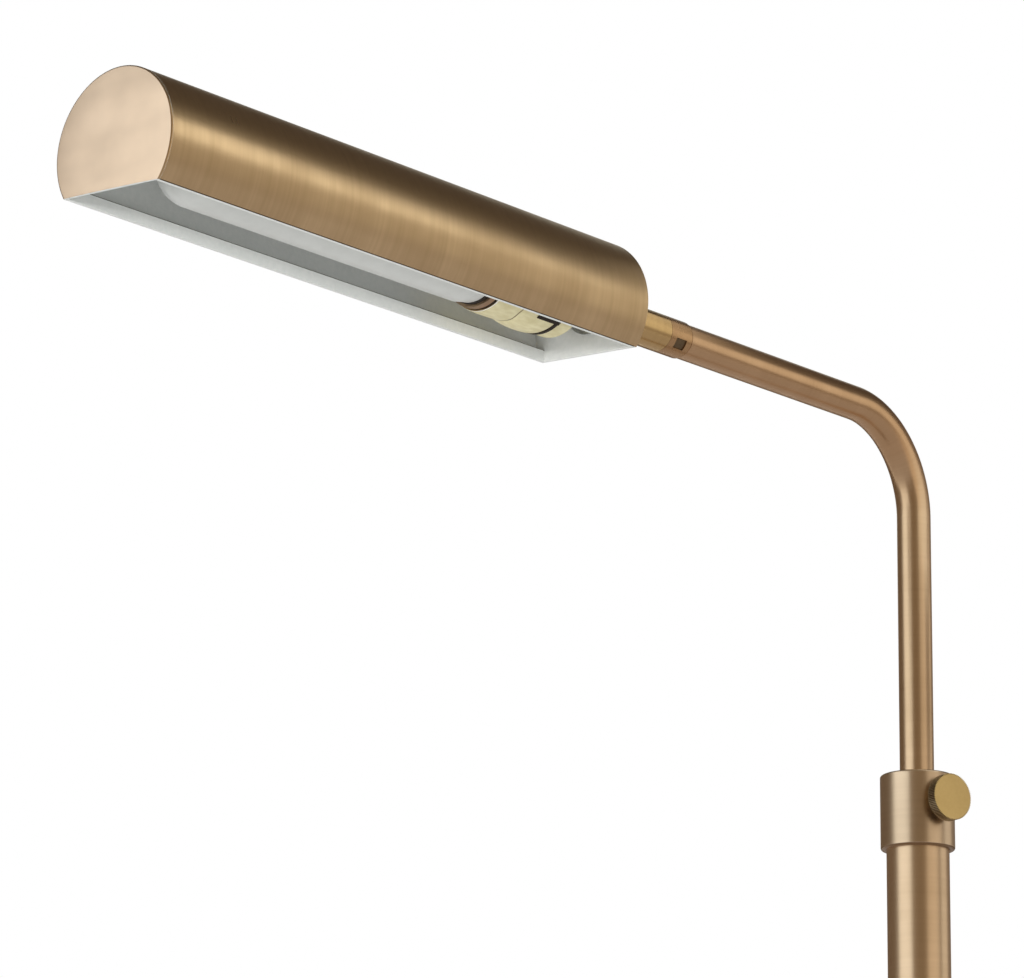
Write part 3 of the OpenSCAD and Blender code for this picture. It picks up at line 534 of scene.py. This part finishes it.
# %% Finishes for the nodes that stay
finish_of = {
    pole_brass: ["base_cover", "pole_foot", "pole_lower", "pole_upper", "switch_bezel"],
    coupler_brass: ["swivel_coupler"],
    # The stop key is painted dark brass as the shade inside the coupler's window.
    key_shade_brass: ["stop_key"],
    # The screw's neck sits in the gap behind the knob and is painted dark as its shade.
    knurl_shade_brass: ["lock_screw", "clamp_shoe"],
    knob_brass: ["foot_button", "switch_neck", "swivel_nut"],
    nut_brass: ["stub_nut"],
    stamped_brass: ["switch_contacts", "screw_shell", "centre_contact", "bulb_tip"],
    zinc: ["base_nipple", "base_washer", "base_nut", "pole_sleeve", "keeper_rings", "spring_washer",
           "tooth_washer", "holder_screws"],
    iron: ["base_weight"],
    black_moulding: ["cord_inlet_bush", "switch_body", "bulb_insulator"],
    flex_rubber: ["pole_flex", "arm_flex", "shade_flex"],
    nylon: ["top_guide", "glide_bush", "wire_plug"],
    cream_fibre: ["holder_base"],
    milk_glass: ["bulb_glass"],
}
for finish, names in finish_of.items():
    for name in names:
        mesh = frame["nodes"][name].data
        mesh.materials.clear()
        mesh.materials.append(finish)
print(sum(len(names) for names in finish_of.values()), "nodes keep their shape")

# %% [markdown]
# New pieces share a few bench tools. One turns a half section through a full circle, one softens every sharp
# edge, and one puts the finished mesh on the lamp: into place, shaded smooth between its sharp edges, riding
# on its body and standing for its node.

# %% Bench tools
SHARP = radians(32)
LATHE_STEPS = 128
WELD = 1e-7  # vertices closer than this are one
NEAR = 1e-6  # room for rounding in a comparison
FACING = 0.9  # a direction with this much of an axis runs along it


def turned(outline, steps=LATHE_STEPS):
    """A bmesh turned about Z from an outline of (radius, height) points."""
    bm = bmesh.new()
    verts = [bm.verts.new((radius, 0, height)) for radius, height in outline]
    edges = [bm.edges.new(pair) for pair in zip(verts, verts[1:])]
    bmesh.ops.spin(bm, geom=verts + edges, axis=(0, 0, 1), cent=(0, 0, 0), angle=tau, steps=steps,
                   use_merge=True)
    bmesh.ops.remove_doubles(bm, verts=bm.verts, dist=WELD)
    bmesh.ops.recalc_face_normals(bm, faces=bm.faces)
    return bm


def soften(bm, width, segments=3, among=None):
    """Bevels the sharp edges, or the sharp ones among those given."""
    edges = [e for e in (among or bm.edges) if e.is_manifold and e.calc_face_angle() > SHARP]
    bmesh.ops.bevel(bm, geom=edges, offset=width, offset_type="OFFSET", segments=segments, profile=0.5,
                    affect="EDGES", clamp_overlap=True, material=-1)


def thickened(bm, height):
    """Extrudes a flat bmesh up to a height."""
    grown = bmesh.ops.extrude_face_region(bm, geom=bm.faces[:], use_keep_orig=True)
    moved = [g for g in grown["geom"] if isinstance(g, bmesh.types.BMVert)]
    bmesh.ops.translate(bm, verts=moved, vec=(0, 0, height))


def angle_of(flat):
    """Signed angle between a flat vector and X."""
    return flat.angle_signed(Vector((1, 0)), 0)


def put_on(name, bm, finishes, body, nodes, place=None):
    """Turns a bmesh into a piece of the lamp."""
    if place is not None:
        bmesh.ops.transform(bm, matrix=place, verts=bm.verts)
    closed = all(e.is_manifold for e in bm.edges)
    mesh = bpy.data.meshes.new(name)
    bm.to_mesh(mesh)
    bm.free()
    for finish in finishes:
        mesh.materials.append(finish)
    mesh.polygons.foreach_set("use_smooth", [True] * len(mesh.polygons))
    mesh.set_sharp_from_angle(angle=SHARP)
    piece = bpy.data.objects.new(name, mesh)
    scene.collection.objects.link(piece)
    even_shading = piece.modifiers.new("even_shading", "WEIGHTED_NORMAL")
    even_shading.keep_sharp = True
    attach(piece, body)
    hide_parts(*nodes)
    print(name, len(mesh.polygons), "faces, closed:", closed)
    return piece


# %% [markdown]
# The shade is one sheet, rolled round and folded in along the opening. Its section is an outer arc and an
# inner arc, joined at both rims by the folded lip. Spinning a single vertex draws an arc, the loop is filled,
# and the face is extruded to the shade's length. Outside is brass, inside is paint. The fold between them and
# the sheet's cut edge on top of each lip are painted in a dark brass as painted shade, the shade that falls
# in the fold and in the gap behind each lip.

# %% Rolled shade
ARC_STEPS = 96
RIM_DEPTH = 13.8 * MM
SHEET = 0.9 * MM
LIP_HEIGHT = 4.0 * MM
LIP_SHEET = 0.7 * MM
LIP_ROOT = 1.0 * MM
FOLD_ROUND = 0.22 * MM
LIP_CUT = 0.3 * MM
BRASS, PAINT, EDGE = range(3)

shell_low, shell_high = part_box("shade_shell")
shade_r = (shell_high.y - shell_low.y) / 2
shade_centre = Vector(((shell_low.y + shell_high.y) / 2, shell_high.z - shade_r - arm_z))
axis_drop = shade_centre.length
shell_start, shell_end = along_shade("shade_shell")
rim = -axis_drop - RIM_DEPTH


def arc(bm, radius, start, end):
    """A chain of vertices on a circle about the shade's axis, from one angle to another."""
    centre = (-axis_drop, 0, 0)
    first = bm.verts.new((-axis_drop + radius * cos(start), radius * sin(start), 0))
    swept = bmesh.ops.spin(bm, geom=[first], axis=(0, 0, 1), cent=centre, angle=end - start, steps=ARC_STEPS)
    last = next(v for v in swept["geom_last"] if isinstance(v, bmesh.types.BMVert))
    return first, last


def chain(bm, points):
    """Joins vertices and points in order by straight edges."""
    verts = [p if isinstance(p, bmesh.types.BMVert) else bm.verts.new((*p, 0)) for p in points]
    return [bm.edges.new(pair) for pair in zip(verts, verts[1:])]


def runs_along(edge):
    """True for an edge that runs along the shade."""
    return abs((edge.verts[1].co - edge.verts[0].co).normalized().z) > FACING


def shade_sheet():
    """The rolled sheet with its two folded lips."""
    bm = bmesh.new()
    outer_rim = acos(-RIM_DEPTH / shade_r)
    lip_out = shade_r * sin(outer_rim) - SHEET
    lip_in = lip_out - LIP_SHEET
    lip_top = rim + LIP_HEIGHT
    inner_r = shade_r - SHEET
    behind = acos((LIP_ROOT - RIM_DEPTH) / inner_r)
    outer_first, outer_last = arc(bm, shade_r, -outer_rim, outer_rim)
    inner_first, inner_last = arc(bm, inner_r, -behind, behind)
    for side, outer, inner in ((-1, outer_first, inner_first), (1, outer_last, inner_last)):
        chain(bm, [outer, (rim, side * lip_in), (lip_top, side * lip_in), (lip_top, side * lip_out), inner])
    bmesh.ops.contextual_create(bm, geom=bm.edges)
    thickened(bm, shell_end - shell_start)
    bmesh.ops.recalc_face_normals(bm, faces=bm.faces)
    bm.normal_update()
    centre = Vector((-axis_drop, 0))
    for f in bm.faces:
        out = f.calc_center_median().xy - centre
        outside = out.length > shade_r - SHEET / 3 and f.normal.xy.dot(out) > 0
        f.material_index = BRASS if outside else PAINT
    edge_lines = [e for e in bm.edges if runs_along(e) and e.is_manifold
                  and len({f.material_index for f in e.link_faces}) == 2]
    lip_lines = [e for e in bm.edges if runs_along(e)
                 and all(abs(v.co.x - lip_top) < WELD and abs(v.co.y) < lip_in + WELD for v in e.verts)]
    # The fold and the lip's cut edge get the dark brass of painted shade.
    for lines, width, segments in ((edge_lines, FOLD_ROUND, 3), (lip_lines, LIP_CUT, 1)):
        made = bmesh.ops.bevel(bm, geom=lines, offset=width, offset_type="OFFSET", segments=segments,
                               profile=0.5, affect="EDGES", material=-1)
        for f in made["faces"]:
            f.material_index = EDGE
    return bm


put_on("shade_sheet", shade_sheet(), [shade_brass, white_paint, painted_shade_fold], "shade", ["shade_shell"],
       to_shade @ Matrix.Translation((0, 0, shell_start)))

# %% [markdown]
# Each end of the shade is closed by a plate cut to the same outline: a disc with its lower part sliced away.
# bisect_plane makes that cut, and the open cut is filled. The front plate is pressed into a dome so shallow
# that only its reflection tells, and its edge is rolled over, so its section is turned. The rear plate is
# flat and bored for the stub, so it is a disc bridged to its hole. The face inside the shade and the cut edge
# are painted.

# %% End plates
PLATE_SIDES = 192
HOLE_SIDES = 64
STUB_HOLE = 5.0 * MM
ROLLED_EDGE = 0.7 * MM
ROLL_STEPS = 5
ROLL_TURN = 0.75  # a face that looks along Z by less belongs to the edge
CUT_EDGE = 0.15 * MM
DOME_RING = 2.2 * MM
DOME_SLOPES = [tan(radians(slope)) for slope in (0.6, 1.2, 1.9, 2.6, 3.3)]


def cut_at_rim(bm):
    """Slices off what lies below the shade's rim and closes the cut."""
    bmesh.ops.bisect_plane(bm, geom=bm.verts[:] + bm.edges[:] + bm.faces[:], plane_co=(rim, 0, 0),
                           plane_no=(-1, 0, 0), clear_outer=True)
    bmesh.ops.contextual_create(bm, geom=[e for e in bm.edges if e.is_boundary])
    bmesh.ops.recalc_face_normals(bm, faces=bm.faces)
    soften(bm, CUT_EDGE, 2)
    bm.normal_update()


def front_dish(thickness):
    """The domed front plate, turned about its own centre."""
    radius, height = shade_r - ROLLED_EDGE - DOME_RING * len(DOME_SLOPES), thickness
    outline = [(0, height), (radius, height)]
    for slope in DOME_SLOPES:
        radius += DOME_RING
        height -= DOME_RING * slope
        outline.append((radius, height))
    for i in range(1, ROLL_STEPS + 1):
        turn = pi / 2 * i / ROLL_STEPS
        outline.append((radius + ROLLED_EDGE * sin(turn), height - ROLLED_EDGE * (1 - cos(turn))))
    bm = turned([*outline, (shade_r, 0), (0, 0)], PLATE_SIDES)
    bmesh.ops.translate(bm, verts=bm.verts, vec=(-axis_drop, 0, 0))
    cut_at_rim(bm)
    return bm


def rear_disc(thickness):
    """The flat rear plate with the stub's hole."""
    bm = bmesh.new()
    disc = bmesh.ops.create_circle(bm, radius=shade_r, segments=PLATE_SIDES)["verts"]
    bmesh.ops.translate(bm, verts=disc, vec=(-axis_drop, 0, 0))
    bmesh.ops.create_circle(bm, radius=STUB_HOLE, segments=HOLE_SIDES)
    bmesh.ops.bridge_loops(bm, edges=bm.edges)
    thickened(bm, thickness)
    cut_at_rim(bm)
    return bm


for name, node, make, outer_side, face in (("front_plate", "front_cap", front_dish, 1, cap_brass),
                                           ("rear_plate", "rear_cap", rear_disc, -1, shade_brass)):
    start, end = along_shade(node)
    bm = make(end - start)
    for f in bm.faces:
        if f.normal.z * outer_side < -FACING or f.normal.x < -FACING:
            f.material_index = PAINT
        elif abs(f.normal.z) < ROLL_TURN:
            f.material_index = EDGE
    put_on(name, bm, [face, white_paint, shade_brass], "shade", [node],
           to_shade @ Matrix.Translation((0, 0, start)))

# %% [markdown]
# The stub that carries the shade is turned from solid brass, so a spin makes it. Its spigot and thread lie
# hidden in the coupler and the shade, and follow the node's own length.

# %% Swivel stub
STUB_R = 6.4 * MM
SPIGOT_R = 4.0 * MM
STUB_BORE = 2.2 * MM
THREAD_R = 5.0 * MM
SEAM_GAP = 0.05 * MM
STUB_EDGE = 0.12 * MM

stub_start, stub_end = along_shade("swivel_stub")
seam = along_shade("swivel_coupler")[1]


def stub_piece():
    """The stub between its spigot and its thread, bored for the flex."""
    bm = turned([(STUB_BORE, stub_start), (SPIGOT_R, stub_start), (SPIGOT_R, seam + SEAM_GAP),
                 (STUB_R, seam + SEAM_GAP), (STUB_R, 0), (THREAD_R, 0), (THREAD_R, stub_end),
                 (STUB_BORE, stub_end), (STUB_BORE, stub_start)])
    soften(bm, STUB_EDGE)
    return bm


put_on("swivel_stub_turned", stub_piece(), [stub_brass], "shade", ["swivel_stub"], to_shade)

# %% [markdown]
# The arm is a tube bent once. A ring of vertices is extruded up the riser, spun round the bend and extruded
# along the arm. Its brush lines run round the tube, so they need a coordinate that follows it: the UV map
# holds the distance along the tube. The same distance lets the riser's pale tone pass into the arm's deeper
# one within the bend.

# %% Bent arm
ARM_R = 6.0 * MM
ARM_BORE = 5.0 * MM
BEND_R = 35.0 * MM
RING_SIDES = 64
BEND_STEPS = 48

riser_low = span("arm_tube", 2)[0]
arm_far = span("arm_tube", 0)[0]
bend_z = arm_z - BEND_R
bend_start = bend_z - riser_low


def moved_ring(bm, edges, vec):
    """Extrudes a ring of edges, moves the new ring and returns its edges."""
    grown = bmesh.ops.extrude_edge_only(bm, edges=edges)["geom"]
    verts = [g for g in grown if isinstance(g, bmesh.types.BMVert)]
    bmesh.ops.translate(bm, verts=verts, vec=vec)
    return [g for g in grown if isinstance(g, bmesh.types.BMEdge) and all(v in verts for v in g.verts)]


def swept_wall(bm, radius):
    """One wall of the bent tube. Returns its two end rings."""
    made = bmesh.ops.create_circle(bm, radius=radius, segments=RING_SIDES)
    bmesh.ops.translate(bm, verts=made["verts"], vec=(0, 0, riser_low))
    low_ring = list({e for v in made["verts"] for e in v.link_edges})
    ring = moved_ring(bm, low_ring, (0, 0, bend_start))
    swept = bmesh.ops.spin(bm, geom=ring + list({v for e in ring for v in e.verts}), axis=(0, -1, 0),
                           cent=(-BEND_R, 0, bend_z), angle=pi / 2, steps=BEND_STEPS)
    ring = [g for g in swept["geom_last"] if isinstance(g, bmesh.types.BMEdge)]
    return low_ring, moved_ring(bm, ring, (arm_far + BEND_R, 0, 0))


def along_tube(point):
    """Distance along the arm's centre line, from the riser's lower end."""
    if point.z < bend_z:
        return point.z - riser_low
    if point.x < -BEND_R:
        return bend_start + BEND_R * pi / 2 - BEND_R - point.x
    return bend_start + BEND_R * angle_of(Vector((point.x + BEND_R, point.z - bend_z)))


def arm_piece():
    """The bent tube with both its walls and its UV map."""
    bm = bmesh.new()
    outer = swept_wall(bm, ARM_R)
    inner = swept_wall(bm, ARM_BORE)
    for outer_ring, inner_ring in zip(outer, inner):
        bmesh.ops.bridge_loops(bm, edges=outer_ring + inner_ring)
    bmesh.ops.recalc_face_normals(bm, faces=bm.faces)
    layer = bm.loops.layers.uv.new("along")
    for f in bm.faces:
        for loop in f.loops:
            loop[layer].uv = (along_tube(loop.vert.co), 0)
    return bm


arm_tones = ((0.68, 0.445, 0.25), (0.58, 0.37, 0.20), bend_start, bend_start + BEND_R * pi / 4)
arm_brass = brass("arm_brass", (0.85, 0.64, 0.415), (0.73, 0.535, 0.33), (0.27, 0.33), (LINES, 1, 1), 5e-7,
                  coordinate="UV", further=arm_tones)
put_on("bent_arm", arm_piece(), [arm_brass], "arm", ["arm_tube"])

# %% [markdown]
# The collar closes the pole and guides the riser. It is turned, bored wide for the pole below and narrow for
# the riser above, and its two outer edges are rounded. The faces that look down are painted in a dark brass
# as painted shade, the shade under the collar's rim.

# %% Collar
COLLAR_EDGE = 0.8 * MM
COLLAR_FIT = 0.06 * MM
UNDERSIDE_TURN = 0.4  # a face that looks down by more is painted dark as shade

collar_low, collar_high = span("collar", 2)
collar_r = span("collar", 0)[1]
pole_r = span("pole_upper", 0)[1]
pole_top = span("pole_upper", 2)[1]


def collar_piece():
    """The collar with its two bores and its underside painted dark as shade."""
    wide, narrow = pole_r + COLLAR_FIT, ARM_R + COLLAR_FIT
    bm = turned([(wide, collar_low), (collar_r, collar_low), (collar_r, collar_high), (narrow, collar_high),
                 (narrow, pole_top), (wide, pole_top), (wide, collar_low)])
    outer_edges = [e for e in bm.edges if all(v.co.xy.length > collar_r - NEAR for v in e.verts)]
    soften(bm, COLLAR_EDGE, 5, outer_edges)
    bm.normal_update()
    for f in bm.faces:
        # Faces that look down get the painted shade.
        f.material_index = 1 if f.normal.z < -UNDERSIDE_TURN else 0
    return bm


put_on("collar_turned", collar_piece(), [collar_brass, collar_shade_brass], "stand", ["collar"])

# %% [markdown]
# The knob's rim is knurled so that fingers grip it. On a ring of vertices every second pair is pulled in, the
# ring is extruded into straight ridges, and both faces are closed by a disc with a small bevel. The grooves
# and the back are painted in a dark brass as the shade that falls in them. The tips of the ridges are paler,
# worn by fingers and painted as a highlight.

# %% Knurled knob
KNURLS = 84
KNURL_DEPTH = 0.36 * MM
KNOB_EDGE = 0.15 * MM
FRONT_TURN = 0.5  # a face that looks out by more belongs to the front
FRONT, GROOVE, TIP = range(3)

knob_hinge = joints["lock_knob_turn"]
knob_out = Vector(knob_hinge["axis"])
knob_middle = Vector(knob_hinge["pos_m"])
knob_r = half_size("lock_knob", 2)
knob_reach = [(v.co - knob_middle).dot(knob_out) for v in frame["nodes"]["lock_knob"].data.vertices]
knob_back, knob_face = min(knob_reach), max(knob_reach)
to_knob = Matrix.Translation(knob_middle) @ knob_out.to_track_quat("Z", "X").to_matrix().to_4x4()


def knob_piece():
    """The knurled disc, with its front towards +Z."""
    bm = bmesh.new()
    ring = bmesh.ops.create_circle(bm, radius=knob_r, segments=4 * KNURLS)["verts"]
    for vert in ring[2::4] + ring[3::4]:
        vert.co *= (knob_r - KNURL_DEPTH) / knob_r
    bmesh.ops.translate(bm, verts=ring, vec=(0, 0, knob_back + KNOB_EDGE))
    edges = list(bm.edges)
    top = moved_ring(bm, edges, (0, 0, knob_face - knob_back - 2 * KNOB_EDGE))
    for ends, sign in ((edges, -1), (top, 1)):
        inset = moved_ring(bm, ends, (0, 0, sign * KNOB_EDGE))
        for vert in {v for e in inset for v in e.verts}:
            vert.co.xy = vert.co.xy.normalized() * (knob_r - KNURL_DEPTH - KNOB_EDGE)
        bmesh.ops.contextual_create(bm, geom=inset)
    bmesh.ops.recalc_face_normals(bm, faces=bm.faces)
    bm.normal_update()
    # Grooves and back get painted shade; the tips get worn brass with a painted highlight.
    for f in bm.faces:
        if f.normal.z > FRONT_TURN:
            f.material_index = FRONT
        else:
            on_tip = all(v.co.xy.length > knob_r - KNURL_DEPTH / 4 for v in f.verts)
            f.material_index = TIP if on_tip else GROOVE
    return bm


put_on("knurled_knob", knob_piece(), [knob_brass, knurl_shade_brass, worn_highlit_brass], "lock_knob", ["lock_knob"],
       to_knob)

# %% [markdown]
# Inside the shade the bulb's cap sits in a fibre sleeve. The sleeve is a card tube that has been squeezed
# into two shallow barrels, the front one slimmer, with an uneven crease between them, painted dark brown as
# the shade in it. The pale band at the cut end is a painted highlight. A half section with two bulges is
# turned, and the vertices near the crease are then pushed to and fro along the tube.

# %% Fibre sleeve
BARREL_POINTS = 20
REAR_BARREL = 14.8 * MM
BARRELS = ((14.1 * MM, 13.64 * MM, 0.95 * MM), (13.62 * MM, 13.62 * MM, 0.25 * MM))
SHOULDER = 0.5  # a power below 1 gives a barrel full shoulders
CREASE, CUT = 1, 2
CREASE_R = 13.6 * MM
CREASE_WIDTH = 0.5 * MM
CUT_END = 0.5 * MM
CREASE_WAVES = ((2, 0.9 * MM, 0.8), (5, 0.35 * MM, 2.0), (9, 0.2 * MM, 0.3))
CREASE_REACH = 4.0 * MM

sleeve_start, sleeve_end = along_shade("holder_sleeve")
sleeve_bore = half_size("screw_shell", 1)
crease = sleeve_start + REAR_BARREL


def barrel(start, end, radii):
    """Points of a barrel's outline, from two end radii and a bulge."""
    first, last, bulge = radii
    points = []
    for i in range(BARREL_POINTS + 1):
        t = i / BARREL_POINTS
        radius = first + (last - first) * t + bulge * abs(sin(pi * t)) ** SHOULDER
        points.append((radius, start + (end - start) * t))
    return points


def sleeve_piece():
    """The two barrels, the crease between them with its painted shade, and the cut end with its painted
    highlight.
    """
    rear = barrel(sleeve_start, crease - CREASE_WIDTH / 2, BARRELS[0])
    front = barrel(crease + CREASE_WIDTH / 2, sleeve_end - CUT_END, BARRELS[1])
    end_r = front[-1][0]
    bm = turned([(sleeve_bore, sleeve_start), *rear, (CREASE_R, crease), *front, (end_r, sleeve_end),
                 (sleeve_bore, sleeve_end), (sleeve_bore, sleeve_start)])
    for f in bm.faces:
        middle = f.calc_center_median()
        outside = middle.xy.length > sleeve_bore + NEAR
        # The crease gets painted shade, the cut end a painted highlight.
        if outside and abs(middle.z - crease) < CREASE_WIDTH / 2:
            f.material_index = CREASE
        elif outside and middle.z > sleeve_end - CUT_END:
            f.material_index = CUT
    for vert in bm.verts:
        angle = angle_of(vert.co.xy)
        wave = sum(depth * sin(count * angle + shift) for count, depth, shift in CREASE_WAVES)
        nearness = max(0.0, 1 - abs(vert.co.z - crease) / CREASE_REACH)
        vert.co.z += wave * nearness
    return bm


put_on("fibre_sleeve", sleeve_piece(), [cream_fibre, crease_shade, cut_end_highlight], "shade", ["holder_sleeve"],
       to_shade)

# %% [markdown]
# A moulded black ring ends the sleeve, and a short clip on it holds the sleeve from outside. The ring is a
# turned section. The clip is one rectangle that spins a few degrees round the same axis.

# %% Black ring and clip
CLIP_STEPS = 10
CLIP_FROM, CLIP_TO = radians(212.5), radians(240)
CLIP_LENGTH = 9.6 * MM
CLIP_IN, CLIP_OUT = 14.2 * MM, 15.2 * MM
RING_EDGE = 0.3 * MM

ring_start, ring_end = along_shade("holder_ring")
ring_r = half_size("holder_ring", 1)


def ring_piece():
    """The ring and its clip, as two shells of one mesh."""
    bm = turned([(sleeve_bore, ring_start), (ring_r, ring_start), (ring_r, ring_end), (sleeve_bore, ring_end),
                 (sleeve_bore, ring_start)])
    soften(bm, RING_EDGE)
    clip_start, clip_end = (ring_start + ring_end) / 2, ring_end + CLIP_LENGTH
    places = ((CLIP_IN, clip_start), (CLIP_OUT, clip_start), (CLIP_OUT, clip_end), (CLIP_IN, clip_end))
    corners = [bm.verts.new((r * cos(CLIP_FROM), r * sin(CLIP_FROM), z)) for r, z in places]
    face = bm.faces.new(corners)
    bmesh.ops.spin(bm, geom=[face, *face.edges, *corners], axis=(0, 0, 1), cent=(0, 0, 0),
                   angle=CLIP_TO - CLIP_FROM, steps=CLIP_STEPS)
    bmesh.ops.recalc_face_normals(bm, faces=bm.faces)
    return bm


put_on("ring_and_clip", ring_piece(), [black_moulding], "shade", ["holder_ring"], to_shade)

# %% [markdown]
# The cap below the glass is thin brass, rolled with a screw thread. Turning gives the plain cap, and then
# each vertex of the wall goes in and out with its height and its angle together, which winds a true thread.
# Where the cap meets the glass, cement fills a narrow gap. The cement and a band just behind the rim, in
# the gap by the sleeve, are painted near black as the shade in those gaps.

# %% Screw cap of the bulb
CAP_SIDES = 96
THREAD_PITCH = 3.63 * MM
THREAD_DEPTH = 0.3 * MM
THREAD_POINTS = 48
CAP_SHEET = 0.4 * MM
CAP_RIM = 2.2 * MM
SHADED_BAND = 1.4 * MM
CEMENT_WIDTH = 1.4 * MM
CEMENT_R, CEMENT_IN = 12.1 * MM, 11.85 * MM

cap_start, cap_end = along_shade("bulb_cap")
cap_r = half_size("bulb_cap", 1)


def screw_cap_piece():
    """The threaded cap and the cement at its mouth, with painted shade on the cement and on a band behind the
    rim.
    """
    rim_end = cap_end - CEMENT_WIDTH
    thread_length = rim_end - CAP_RIM - cap_start
    inside = cap_r - CAP_SHEET
    wall = [(cap_r, cap_start + thread_length * i / THREAD_POINTS) for i in range(THREAD_POINTS + 1)]
    bm = turned([(inside, cap_start), *wall, (cap_r, rim_end), (CEMENT_R, rim_end), (CEMENT_R, cap_end),
                 (CEMENT_IN, cap_end), (CEMENT_IN, rim_end - CAP_SHEET), (inside, rim_end - CAP_SHEET),
                 (inside, cap_start)], CAP_SIDES)
    for f in bm.faces:
        middle = f.calc_center_median()
        # The cement and the band behind the rim get the near-black painted shade.
        in_cement_shade = middle.z > rim_end - CAP_SHEET / 2 and middle.xy.length < CEMENT_R + CAP_SHEET
        in_shaded_band = 0 < rim_end - CAP_RIM - middle.z < SHADED_BAND
        f.material_index = 1 if in_cement_shade or in_shaded_band else 0
    for vert in bm.verts:
        depth_in = vert.co.z - cap_start
        if vert.co.xy.length > cap_r - NEAR and 0 < depth_in < thread_length:
            winding = tau * depth_in / THREAD_PITCH + angle_of(vert.co.xy)
            fade = min(1.0, depth_in / THREAD_PITCH, (thread_length - depth_in) / THREAD_PITCH)
            groove = THREAD_DEPTH * fade * (1 - cos(winding)) / 2
            vert.co.xy *= 1 - groove / cap_r
    return bm


put_on("screw_cap", screw_cap_piece(), [copper_cap, cement_shade], "shade", ["bulb_cap"], to_shade)

# %% [markdown]
# The foot switch's return spring is wound wire: a small ring of vertices spun five times round while it
# climbs. A stiff one would be run through by the pressed button, so the real spring flattens as the button
# goes down. This one gets a mesh of its own.

# %% Return spring
SPRING_WIRE = 0.9 * MM
WIRE_SIDES = 12
SPRING_TURNS = 5
TURN_STEPS = 28

spring_low, spring_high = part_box("switch_spring")
spring_height = spring_high.z - spring_low.z
spring_foot = Vector(((spring_low.x + spring_high.x) / 2, (spring_low.y + spring_high.y) / 2, spring_low.z))


def spring_piece():
    """The coil, which stands on its own origin."""
    bm = bmesh.new()
    coil_r = (spring_high.x - spring_low.x - SPRING_WIRE) / 2
    climb = spring_height - SPRING_WIRE
    steps = SPRING_TURNS * TURN_STEPS
    start = Matrix.Translation((coil_r, 0, SPRING_WIRE / 2)) @ Matrix.Rotation(pi / 2, 4, "X")
    bmesh.ops.create_circle(bm, radius=SPRING_WIRE / 2, segments=WIRE_SIDES, matrix=start)
    bmesh.ops.spin(bm, geom=bm.verts[:] + bm.edges[:], axis=(0, 0, 1), cent=(0, 0, 0),
                   dvec=(0, 0, climb / steps), angle=tau * SPRING_TURNS, steps=steps)
    bmesh.ops.holes_fill(bm, edges=[e for e in bm.edges if e.is_boundary])
    bmesh.ops.recalc_face_normals(bm, faces=bm.faces)
    return bm


return_spring = put_on("return_spring", spring_piece(), [zinc], "stand", ["switch_spring"],
                       Matrix.Translation(spring_foot))
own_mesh(return_spring)

# %% [markdown]
# The felt under the base is pressed wool. Its edge is never quite true, so the disc's rim is drawn in and out
# by a few waves, and the edge is rounded over.

# %% Felt pad
FELT_SIDES = 240
FELT_INSET = 0.5 * MM
FELT_EDGE = 0.5 * MM
FELT_WAVES = ((7, 0.20 * MM), (17, 0.12 * MM), (41, 0.07 * MM))

pad_low, pad_high = span("base_pad", 2)
pad_r = half_size("base_pad", 0)


def felt_piece():
    """The disc with its wavy rim, which lies on its own origin."""
    bm = bmesh.new()
    bmesh.ops.create_circle(bm, cap_ends=True, radius=pad_r - FELT_INSET, segments=FELT_SIDES)
    for vert in bm.verts:
        angle = angle_of(vert.co.xy)
        wave = sum(depth * sin(count * angle) for count, depth in FELT_WAVES)
        vert.co += vert.co.normalized() * wave
    thickened(bm, pad_high - pad_low)
    bmesh.ops.recalc_face_normals(bm, faces=bm.faces)
    soften(bm, FELT_EDGE)
    return bm


felt_disc = put_on("felt_disc", felt_piece(), [felt], "stand", ["base_pad"],
                   Matrix.Translation((0, 0, pad_low)))
